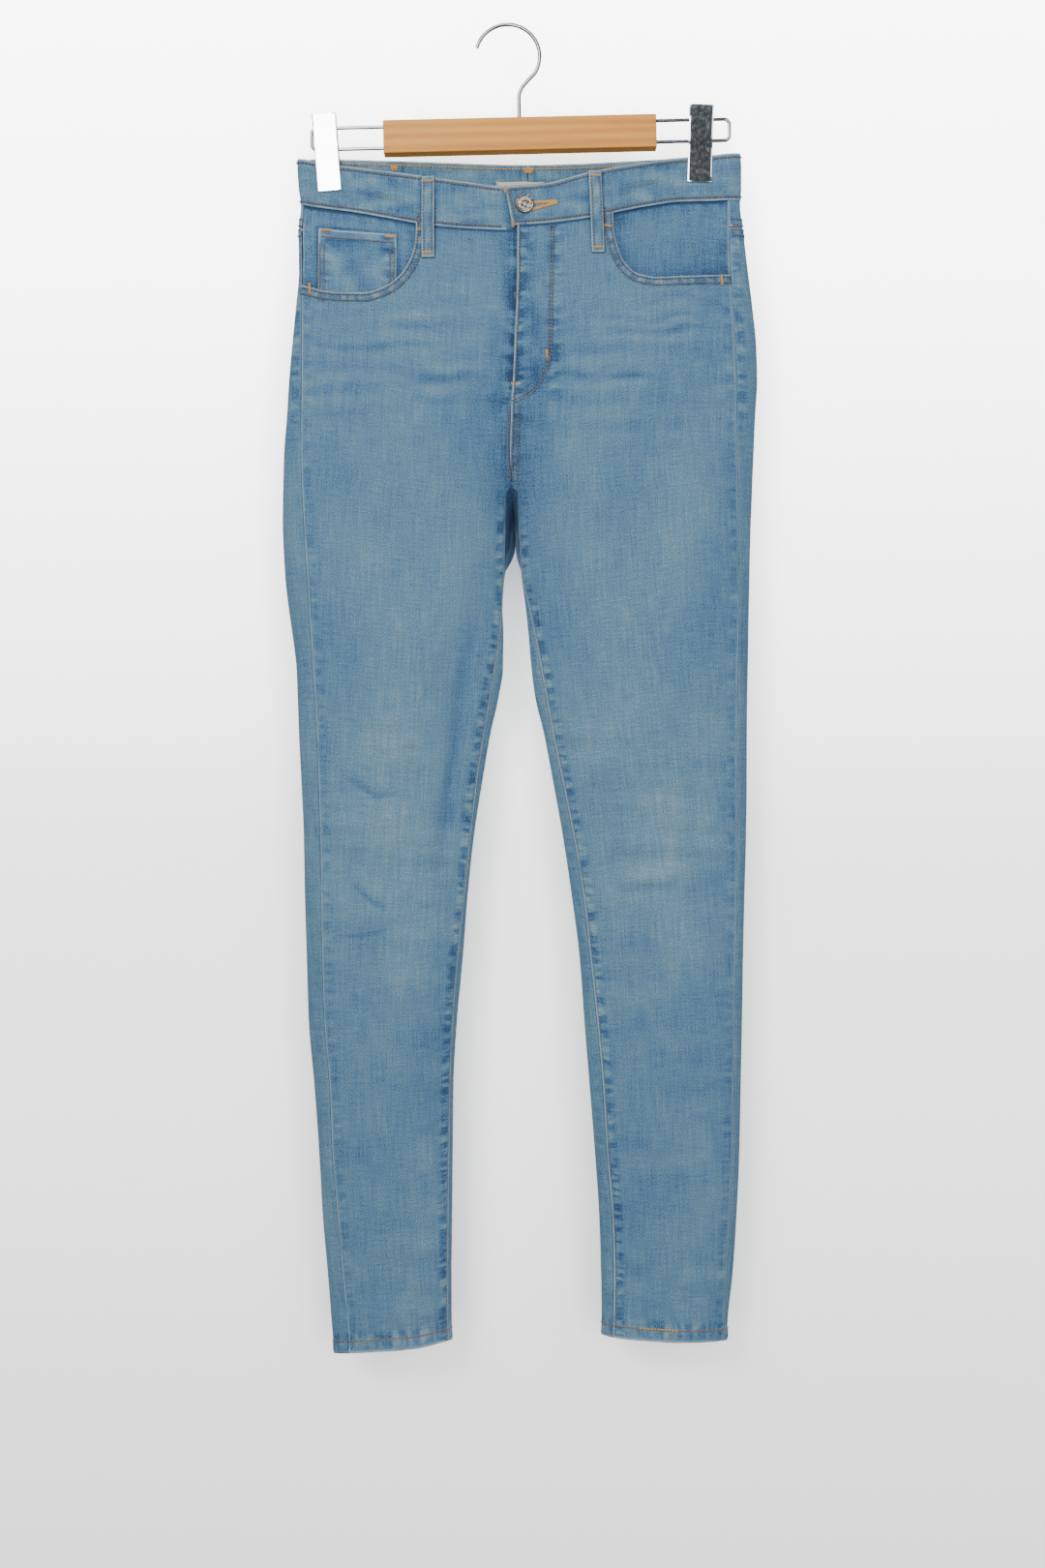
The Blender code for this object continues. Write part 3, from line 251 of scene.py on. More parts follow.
# Bar tacks in front: leg, x, drop, direction, length, width, how far out
TACKS = (
    ("left", 37.0, 310.0, (0.1, 1.0), 9.0, 2.2, 0.7),
    ("left", 8.2, 337.0, (1.0, 0.0), 7.5, 2.0, 1.0),
    ("right", -1.6, 158.5, (0.2, 1.0), 4.5, 1.6, 1.3),
    ("left", 5.4, 190.0, (0.2, 1.0), 5.0, 1.7, 1.2),
    ("right", -182.5, 246.0, (0.05, 1.0), 9.0, 2.1, 0.9),
    ("right", -78.0, 194.0, (1.0, 0.1), 8.5, 1.8, 0.9),
    ("left", 198.5, 238.8, (0.05, 1.0), 9.0, 2.1, 0.9),
    ("left", 92.0, 190.2, (1.0, 0.1), 8.5, 1.8, 0.9),
    ("right", -168.0, 191.2, (1.0, 0.1), 8.0, 2.0, 0.55),
    ("right", -108.1, 199.6, (1.0, 0.1), 8.0, 2.0, 0.55),
)
BUTTONHOLE = (((22.0, 170.0), (46.0, 168.6)), ((22.0, 176.4), (46.0, 169.6)))

# The photo's camera and the size of the wall and the floor, in metres
EYE = (0.0144, -2.2, -0.7047)
LENS_LENGTH = 54.32
BACKDROP = 12.0

# The hanger, level, before it tilts about the hook
TILT = math.radians(1.33)
BAR_MIDDLE = (9.6, 102.2)
BAR_LENGTH = 253.5
WIRE_ABOVE = 11.0
WIRE_BELOW = 8.8
WIRE_ENDS = {"right": -184.0, "left": 204.6}
WIRE_RADIUS = 1.6
WIRE_CORNER = 5.0
HOOK_RADIUS = 1.8
HOOK_BEND = 29.7
HOOK_STEM = ((17.4, 52.0), (11.8, 59.0), (9.6, 65.5), (9.4, 75.0), (9.4, 96.0))
CLIPS = {"right": (-170.2, 82.9, -164.4), "left": (181.0, 74.4, 178.7)}
CLIP_LENGTH = 71.5
CLIP_WIDTH = 22.4
CLIP_WALL = 1.2
# The inner side of a clip's plate: how far down it, and how far from the middle plane
CLIP_PROFILE = ((0.0, 5.2), (6.0, 3.4), (11.0, 1.9), (30.0, 1.9), (40.0, 3.25), (66.0, 3.25),
                (71.5, 4.0))

# Creases: leg, front or back, width, height, then x and drop of each point
CREASES = (
    ("right", True, 3.4, -0.55, (-149.0, 698.4), (-136.0, 706.0), (-121.7, 716.3),
     (-100.6, 714.4)),
    ("right", True, 9.0, 0.4, (-146.0, 688.0), (-121.0, 703.0), (-98.0, 702.0)),
    ("right", True, 3.2, -0.55, (-144.0, 795.6), (-128.0, 811.0), (-111.3, 821.0)),
    ("right", True, 9.0, 0.35, (-139.0, 787.0), (-110.0, 807.0)),
    ("right", True, 3.0, -0.42, (-156.2, 845.9), (-134.0, 845.0), (-109.5, 840.3)),
    ("right", True, 9.0, -1.8, (-28.8, 549.3), (-40.4, 607.4), (-48.1, 675.2), (-56.1, 743.1),
     (-61.5, 785.1)),
    ("left", True, 5.0, -0.9, (111.7, 804.7), (133.0, 801.0), (154.6, 802.9)),
    ("left", True, 9.0, 0.8, (105.0, 792.0), (150.0, 790.0)),
    ("left", True, 12.0, -0.8, (165.0, 640.0), (172.0, 760.0), (176.0, 860.0)),
    ("left", True, 3.0, 0.9, (9.9, 325.2), (17.0, 330.5), (25.1, 329.6)),
    ("left", True, 3.0, 0.8, (12.5, 296.0), (22.0, 308.5)),
    ("left", True, 3.6, 0.7, (19.0, 250.0), (20.5, 285.0), (22.5, 307.0)),
    ("right", False, 6.0, -1.4, (-150.0, 705.0), (-118.0, 722.0), (-84.0, 716.0)),
    ("right", False, 6.0, -1.2, (-140.0, 742.0), (-110.0, 752.0), (-78.0, 744.0)),
    ("right", False, 7.0, -1.0, (-146.0, 800.0), (-112.0, 812.0), (-80.0, 806.0)),
    ("right", False, 10.0, -1.6, (-40.0, 505.0), (-90.0, 530.0), (-140.0, 522.0)),
    ("left", False, 6.0, -1.4, (185.0, 708.0), (148.0, 724.0), (104.0, 716.0)),
    ("left", False, 6.0, -1.1, (180.0, 750.0), (150.0, 760.0), (112.0, 752.0)),
    ("left", False, 7.0, -1.0, (182.0, 806.0), (150.0, 815.0), (116.0, 806.0)),
    ("left", False, 10.0, -1.6, (58.0, 508.0), (110.0, 532.0), (165.0, 520.0)),
    ("right", True, 7.0, -1.0, (-150.0, 170.0), (-120.0, 163.0), (-92.0, 172.0)),
    ("right", True, 5.0, 0.9, (-150.0, 152.0), (-120.0, 156.0), (-88.0, 166.0)),
    ("left", True, 6.0, -1.0, (160.0, 160.0), (132.0, 152.0), (104.0, 162.0)),
    ("left", True, 5.0, 0.9, (163.0, 146.0), (136.0, 144.0), (100.0, 151.0)),
)
# Whiskers, level creases on the hips drawn in colour alone: soft darker bands, partly painted
# shade and partly the wash's own marks. Leg, x and drop of the ends, and how dark
WHISKERS = (
    ("right", (-132.0, 280.0), (-20.0, 284.0), 0.17),
    ("right", (-176.0, 299.0), (-26.0, 303.0), 0.20),
    ("right", (-150.0, 324.0), (-20.0, 329.0), 0.18),
    ("right", (-120.0, 348.0), (-40.0, 352.0), 0.10),
    ("left", (196.0, 256.0), (118.0, 254.0), 0.12),
    ("left", (186.0, 272.0), (58.0, 277.0), 0.17),
    ("left", (190.0, 285.0), (96.0, 290.0), 0.18),
    ("left", (176.0, 300.0), (64.0, 306.0), 0.11),
    ("left", (156.0, 328.0), (50.0, 330.0), 0.20),
)
# Patches by the fly that kept their indigo: x, drop, reach and how dark
FLY_SHADES = ((29.5, 321.0, 10.0, 0.42), (19.0, 212.0, 12.0, 0.30), (33.0, 232.0, 8.0, 0.18))


# ---------------------------------------------------------------- curves and faces

def follow(xs, ys, x):
    """A smooth curve through the points xs, ys that never overshoots them, at x."""
    xs = np.asarray(xs, float)
    ys = np.asarray(ys, float)
    x = np.clip(x, xs[0], xs[-1])
    steps = np.diff(xs)
    rise = np.diff(ys) / steps
    slope = np.zeros(len(xs))
    same_way = rise[:-1] * rise[1:] > 0
    total = np.where(same_way, rise[:-1] + rise[1:], 1.0)
    slope[1:-1] = np.where(same_way, 2 * rise[:-1] * rise[1:] / total, 0.0)
    slope[0] = rise[0]
    slope[-1] = rise[-1]
    k = np.clip(np.searchsorted(xs, x, side="right") - 1, 0, len(steps) - 1)
    t = (x - xs[k]) / steps[k]
    start = (1 + 2 * t) * (1 - t) ** 2 * ys[k] + t * (1 - t) ** 2 * steps[k] * slope[k]
    end = t * t * (3 - 2 * t) * ys[k + 1] - t * t * (1 - t) * steps[k] * slope[k + 1]
    return start + end


def column(table, number, at):
    """A column of a table whose first column is a drop or x, at a place between its rows."""
    return follow([row[0] for row in table], [row[number] for row in table], at)


def leg_line(leg, number, drop):
    """The x of one of a leg's lines, such as OUTER or INSEAM."""
    return column(LEGS[leg], number, drop)


def ease(x, start, end):
    """0 before start, 1 after end, smooth between."""
    t = np.clip((x - start) / (end - start), 0.0, 1.0)
    return t * t * (3 - 2 * t)


def hill(distance, width):
    """1 at no distance, and soon nothing beyond the width."""
    return np.exp(-(distance / width) ** 2)


def wander(x, y, length_x, length_y, seed, waves=7):
    """A smooth uneven field of about unit height, with the given lengths of its swells."""
    rng = np.random.default_rng(seed)
    total = 0.0
    for _ in range(waves):
        turn = rng.uniform(0, 2 * math.pi)
        pace = rng.uniform(0.7, 1.5) * 2 * math.pi
        shift = rng.uniform(0, 2 * math.pi)
        along = x * math.cos(turn) / length_x + y * math.sin(turn) / length_y
        total = total + np.sin(pace * along + shift)
    return total / math.sqrt(waves / 2)


def near_line(x, drop, points):
    """Distance to a line of points, and how far along it the nearest place is, 0 to 1."""
    best = np.full(np.broadcast(x, drop).shape, 1e9)
    where = np.zeros_like(best)
    lengths = [math.dist(a, b) for a, b in zip(points, points[1:])]
    done = 0.0
    for (ax, ad), (bx, bd), length in zip(points, points[1:], lengths):
        t = ((x - ax) * (bx - ax) + (drop - ad) * (bd - ad)) / length ** 2
        t = np.clip(t, 0.0, 1.0)
        gap = np.hypot(x - ax - t * (bx - ax), drop - ad - t * (bd - ad))
        nearer = gap < best
        best = np.where(nearer, gap, best)
        where = np.where(nearer, (done + t * length) / sum(lengths), where)
        done += length
    return best, where


def travelled(xs, ys):
    """How far along a line of points each of them lies."""
    return np.concatenate([[0.0], np.cumsum(np.hypot(np.diff(xs), np.diff(ys)))])


def drawn_line(points, count):
    """A smooth line through points of x and drop, its corners softened."""
    xs, drops = np.array(points).T
    t = travelled(xs, drops)
    line = np.stack([follow(t, part, np.linspace(0.0, t[-1], count)) for part in (xs, drops)])
    for _ in range(40):
        line[:, 1:-1] = (line[:, :-2] + 2 * line[:, 1:-1] + line[:, 2:]) / 4
    return line


def heading(x, drop):
    """Which way a line of points runs at each of them, as x and drop."""
    way = np.stack([np.gradient(x), np.gradient(drop)], axis=-1)
    return way / np.linalg.norm(way, axis=-1, keepdims=True)


def relief(leg, x, drop, front):
    """The creases and slack of the hung cloth, out of the face, in mm."""
    seed = (11 if front else 23) + (5 if leg == "left" else 0)
    below = ease(drop, 240.0, 330.0)
    rise = 0.55 * wander(x, drop, 90.0, 260.0, 3 if front else 4) * below
    rise = rise + 0.35 * wander(x, drop, 46.0, 120.0, seed) * below
    knee = hill(drop - 760.0, 130.0)
    rise = rise + 0.35 * wander(x, drop, 90.0, 24.0, seed + 40) * knee
    ankle = ease(drop, 1040.0, 1160.0)
    rise = rise + 0.35 * wander(x, drop, 70.0, 34.0, seed + 60) * ankle
    if not front:
        seat = hill(drop - 510.0, 60.0)
        rise = rise + 0.7 * wander(x, drop, 90.0, 30.0, seed + 80) * seat
    for which, ahead, width, height, *points in CREASES:
        if ahead != front or which != leg:
            continue
        gap, along = near_line(x, drop, points)
        tail = np.sin(math.pi * np.clip(along, 0.04, 0.96)) ** 0.5
        rise = rise + 2.3 * height * hill(gap, width * 0.75) * tail
    if front:
        fly = hill(np.maximum(np.abs(x - 20.0) - 14.0, 0.0), 12.0) * ease(drop, 196.0, 210.0)
        fly = fly * (1 - ease(drop, 350.0, 420.0))
        rise = rise + 0.3 * wander(x, drop, 20.0, 26.0, 91) * fly
    return rise


def lens(x, edge_a, edge_b):
    """The section of a flat tube between two edges: full over most of its width, round at its
    edges."""
    t = np.clip(np.abs(2 * x - edge_a - edge_b) / np.abs(edge_b - edge_a), 0.0, 1.0)
    return (1 - t ** LENS_POWER) ** LENS_ROUND


def waist_depth(x, drop, bow):
    """The faces at the waist: flat in the clips, bowed between them, folded outside them."""
    start = CLIP_X["right"] + CLIP_HALF
    end = CLIP_X["left"] - CLIP_HALF
    across = np.clip((x - start) / (end - start), 0.0, 1.0)
    depth = PINCH + bow * np.sin(math.pi * across) ** BOW_POWER
    for leg, sign in (("right", -1), ("left", 1)):
        edge = leg_line(leg, OUTER, drop)
        clip = CLIP_X[leg] + sign * CLIP_HALF
        t = np.clip((edge - x) / (edge - clip), 0.0, 1.0)
        ear = EAR_DEPTH * np.sqrt(1 - (1 - t) ** 2) * (1 - (1 - PINCH / EAR_DEPTH) * t * t)
        depth = np.where((x - clip) * sign > 0, ear, depth)
    return depth


def face_depth(leg, x, drop, front):
    """How far a face stands out from the middle plane, with its creases."""
    crotch = CROTCH_FRONT if front else CROTCH_BACK
    inner = leg_line(leg, FRONT_IN if front else BACK_IN, drop)
    body = lens(x, leg_line("right", OUTER, drop), leg_line("left", OUTER, drop))
    one_leg = lens(x, leg_line(leg, OUTER, drop), inner)
    fork = ease(drop, crotch - FORK_ABOVE, crotch + FORK_BELOW)
    full = column(DEPTHS, 1 if front else 2, drop) * (body * (1 - fork) + one_leg * fork)
    hold = ease(drop, PINCH_UNTIL, PINCH_GONE)
    waist = waist_depth(x, drop, BOW_FRONT if front else BOW_BACK)
    depth = waist * (1 - hold) + full * hold
    return depth + relief(leg, x, drop, front) * ease(depth, 2.0, 10.0)


def on_front(leg, x, drop):
    """Points of the front face, in mm."""
    x, drop = np.broadcast_arrays(np.asarray(x, float), np.asarray(drop, float))
    return np.stack([x, -face_depth(leg, x, drop, True), -drop], axis=-1)


def on_back(leg, x, drop):
    """Points of the back face, in mm."""
    x, drop = np.broadcast_arrays(np.asarray(x, float), np.asarray(drop, float))
    return np.stack([x, face_depth(leg, x, drop, False), -drop], axis=-1)


def corner_x(leg, drop):
    """Where the back face begins to turn in to the inner thigh."""
    inward = -1 if leg == "right" else 1
    turn = INNER_TURN * ease(drop, CROTCH_BACK, TURN_FULL)
    return leg_line(leg, BACK_IN, drop) + inward * turn


def round_the_side(leg, share, drop):
    """From the back face's inner end round the outer edge to the side seam in front."""
    outer = leg_line(leg, OUTER, drop)
    behind = np.clip(share / TURN_AT, 0.0, 1.0)
    ahead = np.clip((share - TURN_AT) / (1 - TURN_AT), 0.0, 1.0)
    x_behind = corner_x(leg, drop) + (outer - corner_x(leg, drop)) * np.sin(math.pi / 2 * behind)
    x_ahead = outer + (leg_line(leg, SIDE, drop) - outer) * ahead ** 2
    turned = (share > TURN_AT)[..., None]
    return np.where(turned, on_front(leg, x_ahead, drop), on_back(leg, x_behind, drop))


def inner_thigh(leg, share, drop):
    """From the inseam round a leg's inner side to its back face, for whole grids at once."""
    x_front = leg_line(leg, FRONT_IN, drop)[..., None]
    x_inseam = leg_line(leg, INSEAM, drop)[..., None]
    x_back = leg_line(leg, BACK_IN, drop)[..., None]
    bend = 1 - np.cos(np.linspace(0.0, math.pi / 2, 13))
    level = drop[..., None] + 0 * bend
    ahead = on_front(leg, x_front + (x_inseam - x_front) * bend[::-1], level)
    behind = on_back(leg, x_back + (corner_x(leg, drop)[..., None] - x_back) * bend, level)
    path = np.concatenate([ahead, behind], axis=-2)
    along = np.cumsum(np.linalg.norm(np.diff(path, axis=-2), axis=-1), axis=-1)
    along = np.concatenate([np.zeros_like(along[..., :1]), along], axis=-1)
    want = share * along[..., -1]
    k = np.clip(np.sum(along < want[..., None], axis=-1) - 1, 0, path.shape[-2] - 2)
    low = np.take_along_axis(along, k[..., None], -1)[..., 0]
    high = np.take_along_axis(along, k[..., None] + 1, -1)[..., 0]
    t = ((want - low) / np.maximum(high - low, 1e-9))[..., None]
    first = np.take_along_axis(path, k[..., None, None].repeat(3, -1), -2)[..., 0, :]
    second = np.take_along_axis(path, k[..., None, None].repeat(3, -1) + 1, -2)[..., 0, :]
    point = first + (second - first) * t
    seam_drop = CROTCH_FRONT + (CROTCH_BACK - CROTCH_FRONT) * share
    seam_x = CROTCH_FRONT_X + (CROTCH_BACK_X - CROTCH_FRONT_X) * share
    opened = seam_drop + NOTCH_OPENS + (SEAT_OPENS - NOTCH_OPENS) * share
    parted = ease(drop, seam_drop, opened)
    side = -MEET if leg == "right" else MEET
    point[..., 0] = (seam_x + side) * (1 - parted) + point[..., 0] * parted
    return point


def band_bottom(leg, x, front):
    """The drop of the waistband's lower edge."""
    return column(BAND_FRONT[leg] if front else BAND_BACK, 2, x)


def hem_drop(leg, x):
    """The drop of a leg's hem."""
    return column(HEMS[leg], 1, x)


# ---------------------------------------------------------------- node materials

def colour(code):
    """A colour from its sRGB hex code."""
    parts = [int(code[i:i + 2], 16) / 255 for i in (1, 3, 5)]
    return (*(v / 12.92 if v <= 0.04045 else ((v + 0.055) / 1.055) ** 2.4 for v in parts), 1.0)


def fill(tree, made, inputs):
    """Links or sets a node's inputs."""
    for name, value in inputs.items():
        if isinstance(value, bpy.types.NodeSocket):
            tree.links.new(value, made.inputs[name])
        else:
            made.inputs[name].default_value = value


def node(tree, kind, inputs=None, out=0, stops=None, **settings):
    """Adds a node, sets it, fills its inputs, and gives back one of its outputs."""
    made = tree.nodes.new("ShaderNode" + kind)
    for name, value in settings.items():
        setattr(made, name, value)
    fill(tree, made, inputs or {})
    if stops:
        while len(made.color_ramp.elements) < len(stops):
            made.color_ramp.elements.new(0.5)
        for element, (place, code) in zip(made.color_ramp.elements, stops):
            element.position = place
            element.color = colour(code)
    return made.outputs[out]


def new_material(name):
    """A material, a call that adds a node to it, and one that fills its shader."""
    made = bpy.data.materials.new(name)
    made.use_nodes = True
    tree = made.node_tree
    shader = tree.nodes["Principled BSDF"]
    return made, functools.partial(node, tree), functools.partial(fill, tree, shader)


def denim(name, stops, pale, grain=1.0, wear=1.0):
    """Stone-washed stretch denim. Indigo warp over white weft, so the eye gets fine upright
    streaks of slub yarn, dark puckers beside the seams and almost white edges, with a painted
    shade in the seam's ditch at the very edge. It is a soft, dull surface with a slight fuzz.
    The cloth's own map is in metres, u across, v down; its wear attribute holds the
    distance to an edge in mm, the puckering there, and how faded the cloth is together with its
    painted shade and highlight."""
    made, n, finish = new_material(name)
    cloth_map = n("UVMap", uv_map="cloth")
    attribute = n("Attribute", attribute_name="wear", out="Vector")
    edge, rope, fade = n("SeparateXYZ", {0: attribute}).node.outputs
    # Marks a metre across and down, detail and roughness of each pattern
    slub, long_slub, fleck, weft, cloud, smudge, level_bars, upright_bars = (
        n("TexNoise", {"Vector": n("Mapping", {0: cloth_map, "Scale": (wide, tall, 1.0)}),
                       "Scale": 1.0, "Detail": detail, "Roughness": rough}, noise_dimensions="2D")
        for wide, tall, detail, rough in (
            (760.0, 26.0, 3.0, 0.6),     # slub yarns 1.3 mm apart, that run for some 40 mm
            (330.0, 30.0, 2.0, 0.5),     # thicker slubs 3 mm apart
            (1100.0, 700.0, 1.0, 0.5),   # flecks of weft, 0.9 by 1.4 mm
            (50.0, 620.0, 2.0, 0.5),     # level streaks of weft, 20 mm long
            (17.0, 9.0, 1.5, 0.5),       # clouds from the wash, 60 mm wide and 110 mm tall
            (70.0, 55.0, 2.0, 0.5),      # smudges of 15 mm
            (38.0, 135.0, 1.5, 0.6),     # a seam's puckers, bars some 12 mm apart across it:
            (135.0, 38.0, 1.5, 0.6)))    # level beside an upright seam, upright by a level one
    tone = n("Math", {0: fade, 1: 0.5, 2: 0.5}, operation="MULTIPLY_ADD")
    for pattern, amount in ((slub, 0.54 * grain), (long_slub, 0.19 * grain), (fleck, 1.08 * grain),
                            (weft, 0.34 * grain), (cloud, 0.25), (smudge, 0.10)):
        centred = n("Math", {0: pattern, 1: -0.5}, operation="ADD")
        tone = n("Math", {0: centred, 1: amount, 2: tone}, operation="MULTIPLY_ADD")
    # Rope is above 0 beside an upright seam and below 0 beside a level one. A bar is dark in
    # its hollow and pale on its crest
    level = n("Math", {0: rope, 1: 0.0}, operation="LESS_THAN")
    bar = n("Mix", {0: level, 2: level_bars, 3: upright_bars}, data_type="FLOAT")
    strength = n("Math", {0: rope}, operation="ABSOLUTE")
    marks = []
    for start, end, amount in ((0.45, 0.60, -0.30), (0.44, 0.32, 0.22)):
        mark = n("MapRange", {"Value": bar, "From Min": start, "From Max": end},
                 interpolation_type="SMOOTHSTEP")
        marks.append(n("Math", {0: mark, 1: strength}, operation="MULTIPLY"))
        tone = n("Math", {0: marks[-1], 1: amount * wear, 2: tone}, operation="MULTIPLY_ADD",
                 use_clamp=amount > 0)
    base = n("ValToRGB", {0: tone}, stops=stops)
    # The outermost 2 mm of an edge is rubbed to the white core of the yarn
    rubbed = n("MapRange", {"Value": edge, "From Min": 2.2, "From Max": 0.9},
               interpolation_type="SMOOTHSTEP")
    patchy = n("MapRange", {"Value": smudge, "From Min": 0.28, "From Max": 0.56, "To Min": 0.6})
    for share in (patchy, 0.72 * wear):
        rubbed = n("Math", {0: rubbed, 1: share}, operation="MULTIPLY")
    # At the very edge, in the seam's ditch, a painted shade darkens the cloth to deep indigo
    seam_ditch_shade = n("MapRange", {"Value": edge, "From Min": 0.55, "From Max": 0.15,
                           "To Max": 0.75 * wear})
    for share, code in ((rubbed, pale), (seam_ditch_shade, "#24384C")):
        base = n("Mix", {0: share, 6: base, 7: colour(code)}, out=2, data_type="RGBA")
    # Twill ribs lean to the right. They are drawn 1.2 mm apart, half again life size, to show
    turned = n("Mapping", {0: cloth_map, "Rotation": (0.0, 0.0, math.radians(-63)),
                           "Scale": (265.0, 265.0, 1.0)})
    height = n("TexWave", {"Vector": turned, "Scale": 1.0, "Distortion": 0.6, "Detail": 1.0})
    height = n("Math", {0: height, 1: 0.5}, operation="MULTIPLY")
    for pattern, amount in ((slub, 1.2), (fleck, 0.8), (marks[0], -1.6)):
        height = n("Math", {0: pattern, 1: amount, 2: height}, operation="MULTIPLY_ADD")
    finish({"Base Color": base, "Roughness": 0.86, "Specular IOR Level": 0.22,
            "Sheen Weight": 0.10, "Sheen Roughness": 0.5,
            "Normal": n("Bump", {"Height": height, "Strength": 0.55, "Distance": 0.0004})})
    return made


def thread(name, code, ply_highlight):
    """Spun polyester sewing thread of two plies, with a sheen: a fine slanting light and dark, the
    light a painted highlight where the twisted plies would catch the light.
    """
    made, n, finish = new_material(name)
    ply = n("TexNoise", {"Vector": n("TexCoord", out="Object"), "Scale": 900.0, "Detail": 1.0})
    mix = n("Mix", {0: ply, 6: colour(code), 7: colour(ply_highlight)}, out=2, data_type="RGBA")
    finish({"Base Color": mix, "Roughness": 0.55, "Sheen Weight": 0.2})
    return made


def lotus_wood():
    """Sanded lotus wood under a thin matt lacquer: honey brown, with long soft growth lines a
    few millimetres apart that slope a little against the bar, and short dark pores."""
    made, n, finish = new_material("lotus wood, matt lacquer")
    place = n("TexCoord", out="Object")
    along, sloping, fine = (
        n("Mapping", {0: place, "Rotation": (0.0, turn, 0.0), "Scale": scale})
        for turn, scale in ((TILT, (5.0, 50.0, 85.0)), (TILT + 0.16, (3.0, 30.0, 34.0)),
                            (0.0, (110.0, 1500.0, 1500.0))))
    figure = n("TexNoise", {"Vector": along, "Scale": 1.0, "Detail": 4.0, "Roughness": 0.55,
                            "Distortion": 0.6})
    rings = n("TexWave", {"Vector": sloping, "Scale": 1.0, "Distortion": 4.5, "Detail": 2.0,
                          "Detail Scale": 0.7}, bands_direction="Z")
    pores = n("TexNoise", {"Vector": fine, "Scale": 1.0, "Detail": 2.0})
    tone = n("Math", {0: rings, 1: 0.24, 2: 0.20}, operation="MULTIPLY_ADD")
    tone = n("Math", {0: figure, 1: 0.52, 2: tone}, operation="MULTIPLY_ADD")
    centred = n("Math", {0: pores, 1: -0.5}, operation="ADD")
    tone = n("Math", {0: centred, 1: 0.22, 2: tone}, operation="MULTIPLY_ADD")
    base = n("ValToRGB", {0: tone}, stops=((0.2, "#A9581A"), (0.42, "#D28422"), (0.62, "#E4972A"),
                                           (0.85, "#F0AC3C")))
    finish({"Base Color": base, "Roughness": 0.55, "Specular IOR Level": 0.3,
            "Normal": n("Bump", {"Height": pores, "Strength": 0.2, "Distance": 0.0002})})
    return made


def metal(name, code, roughness, uneven, grain, dark=None):
    """Plated steel or cast zinc: a mirror or satin skin with hairline scratches, and for the
    antique finish a dark tarnish left in the hollows."""
    made, n, finish = new_material(name)
    rub = n("TexNoise", {"Vector": n("TexCoord", out="Object"), "Scale": grain, "Detail": 3.0})
    rough = n("MapRange", {"Value": rub, "From Min": 0.3, "From Max": 0.7,
                           "To Min": roughness - uneven, "To Max": roughness + uneven})
    base = colour(code)
    if dark:
        hollow = n("MapRange", {"Value": rub, "From Min": 0.62, "From Max": 0.38})
        base = n("Mix", {0: hollow, 6: base, 7: colour(dark)}, out=2, data_type="RGBA")
    finish({"Base Color": base, "Roughness": rough, "Metallic": 1.0})
    return made


def tape(name, code, other, across, along):
    """A flat woven polyester tape: a fine rib across it and a slight sheen."""
    made, n, finish = new_material(name)
    place = n("Mapping", {0: n("TexCoord", out="Object"), "Scale": (across, across, along)})
    rib = n("TexNoise", {"Vector": place, "Scale": 1.0, "Detail": 2.0})
    mix = n("Mix", {0: rib, 6: colour(code), 7: colour(other)}, out=2, data_type="RGBA")
    finish({"Base Color": mix, "Roughness": 0.8, "Sheen Weight": 0.15,
            "Normal": n("Bump", {"Height": rib, "Strength": 0.4, "Distance": 0.0002})})
    return made


DENIM = denim("stretch denim, stone washed",
              ((0.0, "#234569"), (0.13, "#345F87"), (0.29, "#456F93"), (0.50, "#587F9B"),
               (0.72, "#6B8EA1"), (0.98, "#8CA8B5")), "#A9C3D2")
REVERSE = denim("stretch denim, wrong side",
                ((0.1, "#7F9BB0"), (0.5, "#A3B7C4"), (0.9, "#C3D0D6")), "#D0D9DD", 0.8, 0.4)
GOLD = thread("polyester thread, gold", "#BE8420", "#DDA843")
TONAL = thread("polyester thread, taupe", "#3A3843", "#6B6672")
RUST = thread("polyester thread, rust", "#76502F", "#9E7550")
WOOD = lotus_wood()
CHROME = metal("chrome plate on steel", "#DADCE0", 0.09, 0.05, 260.0)
WIRE_PLATE = metal("nickel plate on steel wire", "#7E7A86", 0.20, 0.012, 400.0)
NICKEL = metal("antique nickel on zinc", "#A39D93", 0.33, 0.10, 900.0, "#3C3936")
BRASS = metal("brass zip teeth", "#B08A4A", 0.38, 0.1, 600.0)
LABEL_TAPE = tape("satin label tape, bare", "#CDBE96", "#E0D6B8", 300.0, 2200.0)
ZIP_TAPE = tape("zip tape, navy", "#33485E", "#46607A", 500.0, 1600.0)


# ---------------------------------------------------------------- objects

def mesh_of(name, bm, look=None):
    """The finished mesh of a bmesh, with its material."""
    mesh = bpy.data.meshes.new(name)
    bm.to_mesh(mesh)
    bm.free()
    if look:
        mesh.materials.append(look)
    return mesh


def stood(name, data):
    """An object in the scene."""
    made = bpy.data.objects.new(name, data)
    bpy.context.scene.collection.objects.link(made)
    return made


def give(node_name, look):
    """A CAD node that keeps its shape gets its finish."""
    cad_object = next(o for o in bpy.data.objects if o.name == node_name)
    cad_object.data.materials.clear()
    cad_object.data.materials.append(look)
    for slot in cad_object.material_slots:
        slot.material = look


def settle(piece, slot, *nodes):
    """The piece rides on the object and stands for its CAD nodes; slot is not used."""
    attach(piece, "root")
    if nodes:
        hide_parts(*nodes)


# ---------------------------------------------------------------- grids of points

def lengths(points, axis):
    """How far each point lies from the grid's first row or column, along the cloth."""
    steps = np.linalg.norm(np.diff(points, axis=axis), axis=-1)
    total = np.cumsum(steps, axis=axis)
    start = np.zeros_like(np.take(total, [0], axis=axis))
    return np.concatenate([start, total], axis=axis)


def ruled(columns, rows, first=0.0):
    """Shares across and down for a grid of points."""
    return np.meshgrid(np.linspace(first, 1.0, columns), np.linspace(0.0, 1.0, rows))


def normals(points):
    """Which way the cloth faces at each point: out of the jeans."""
    normal = np.cross(np.gradient(points, axis=0), np.gradient(points, axis=1))
    return normal / np.maximum(np.linalg.norm(normal, axis=-1, keepdims=True), 1e-9)


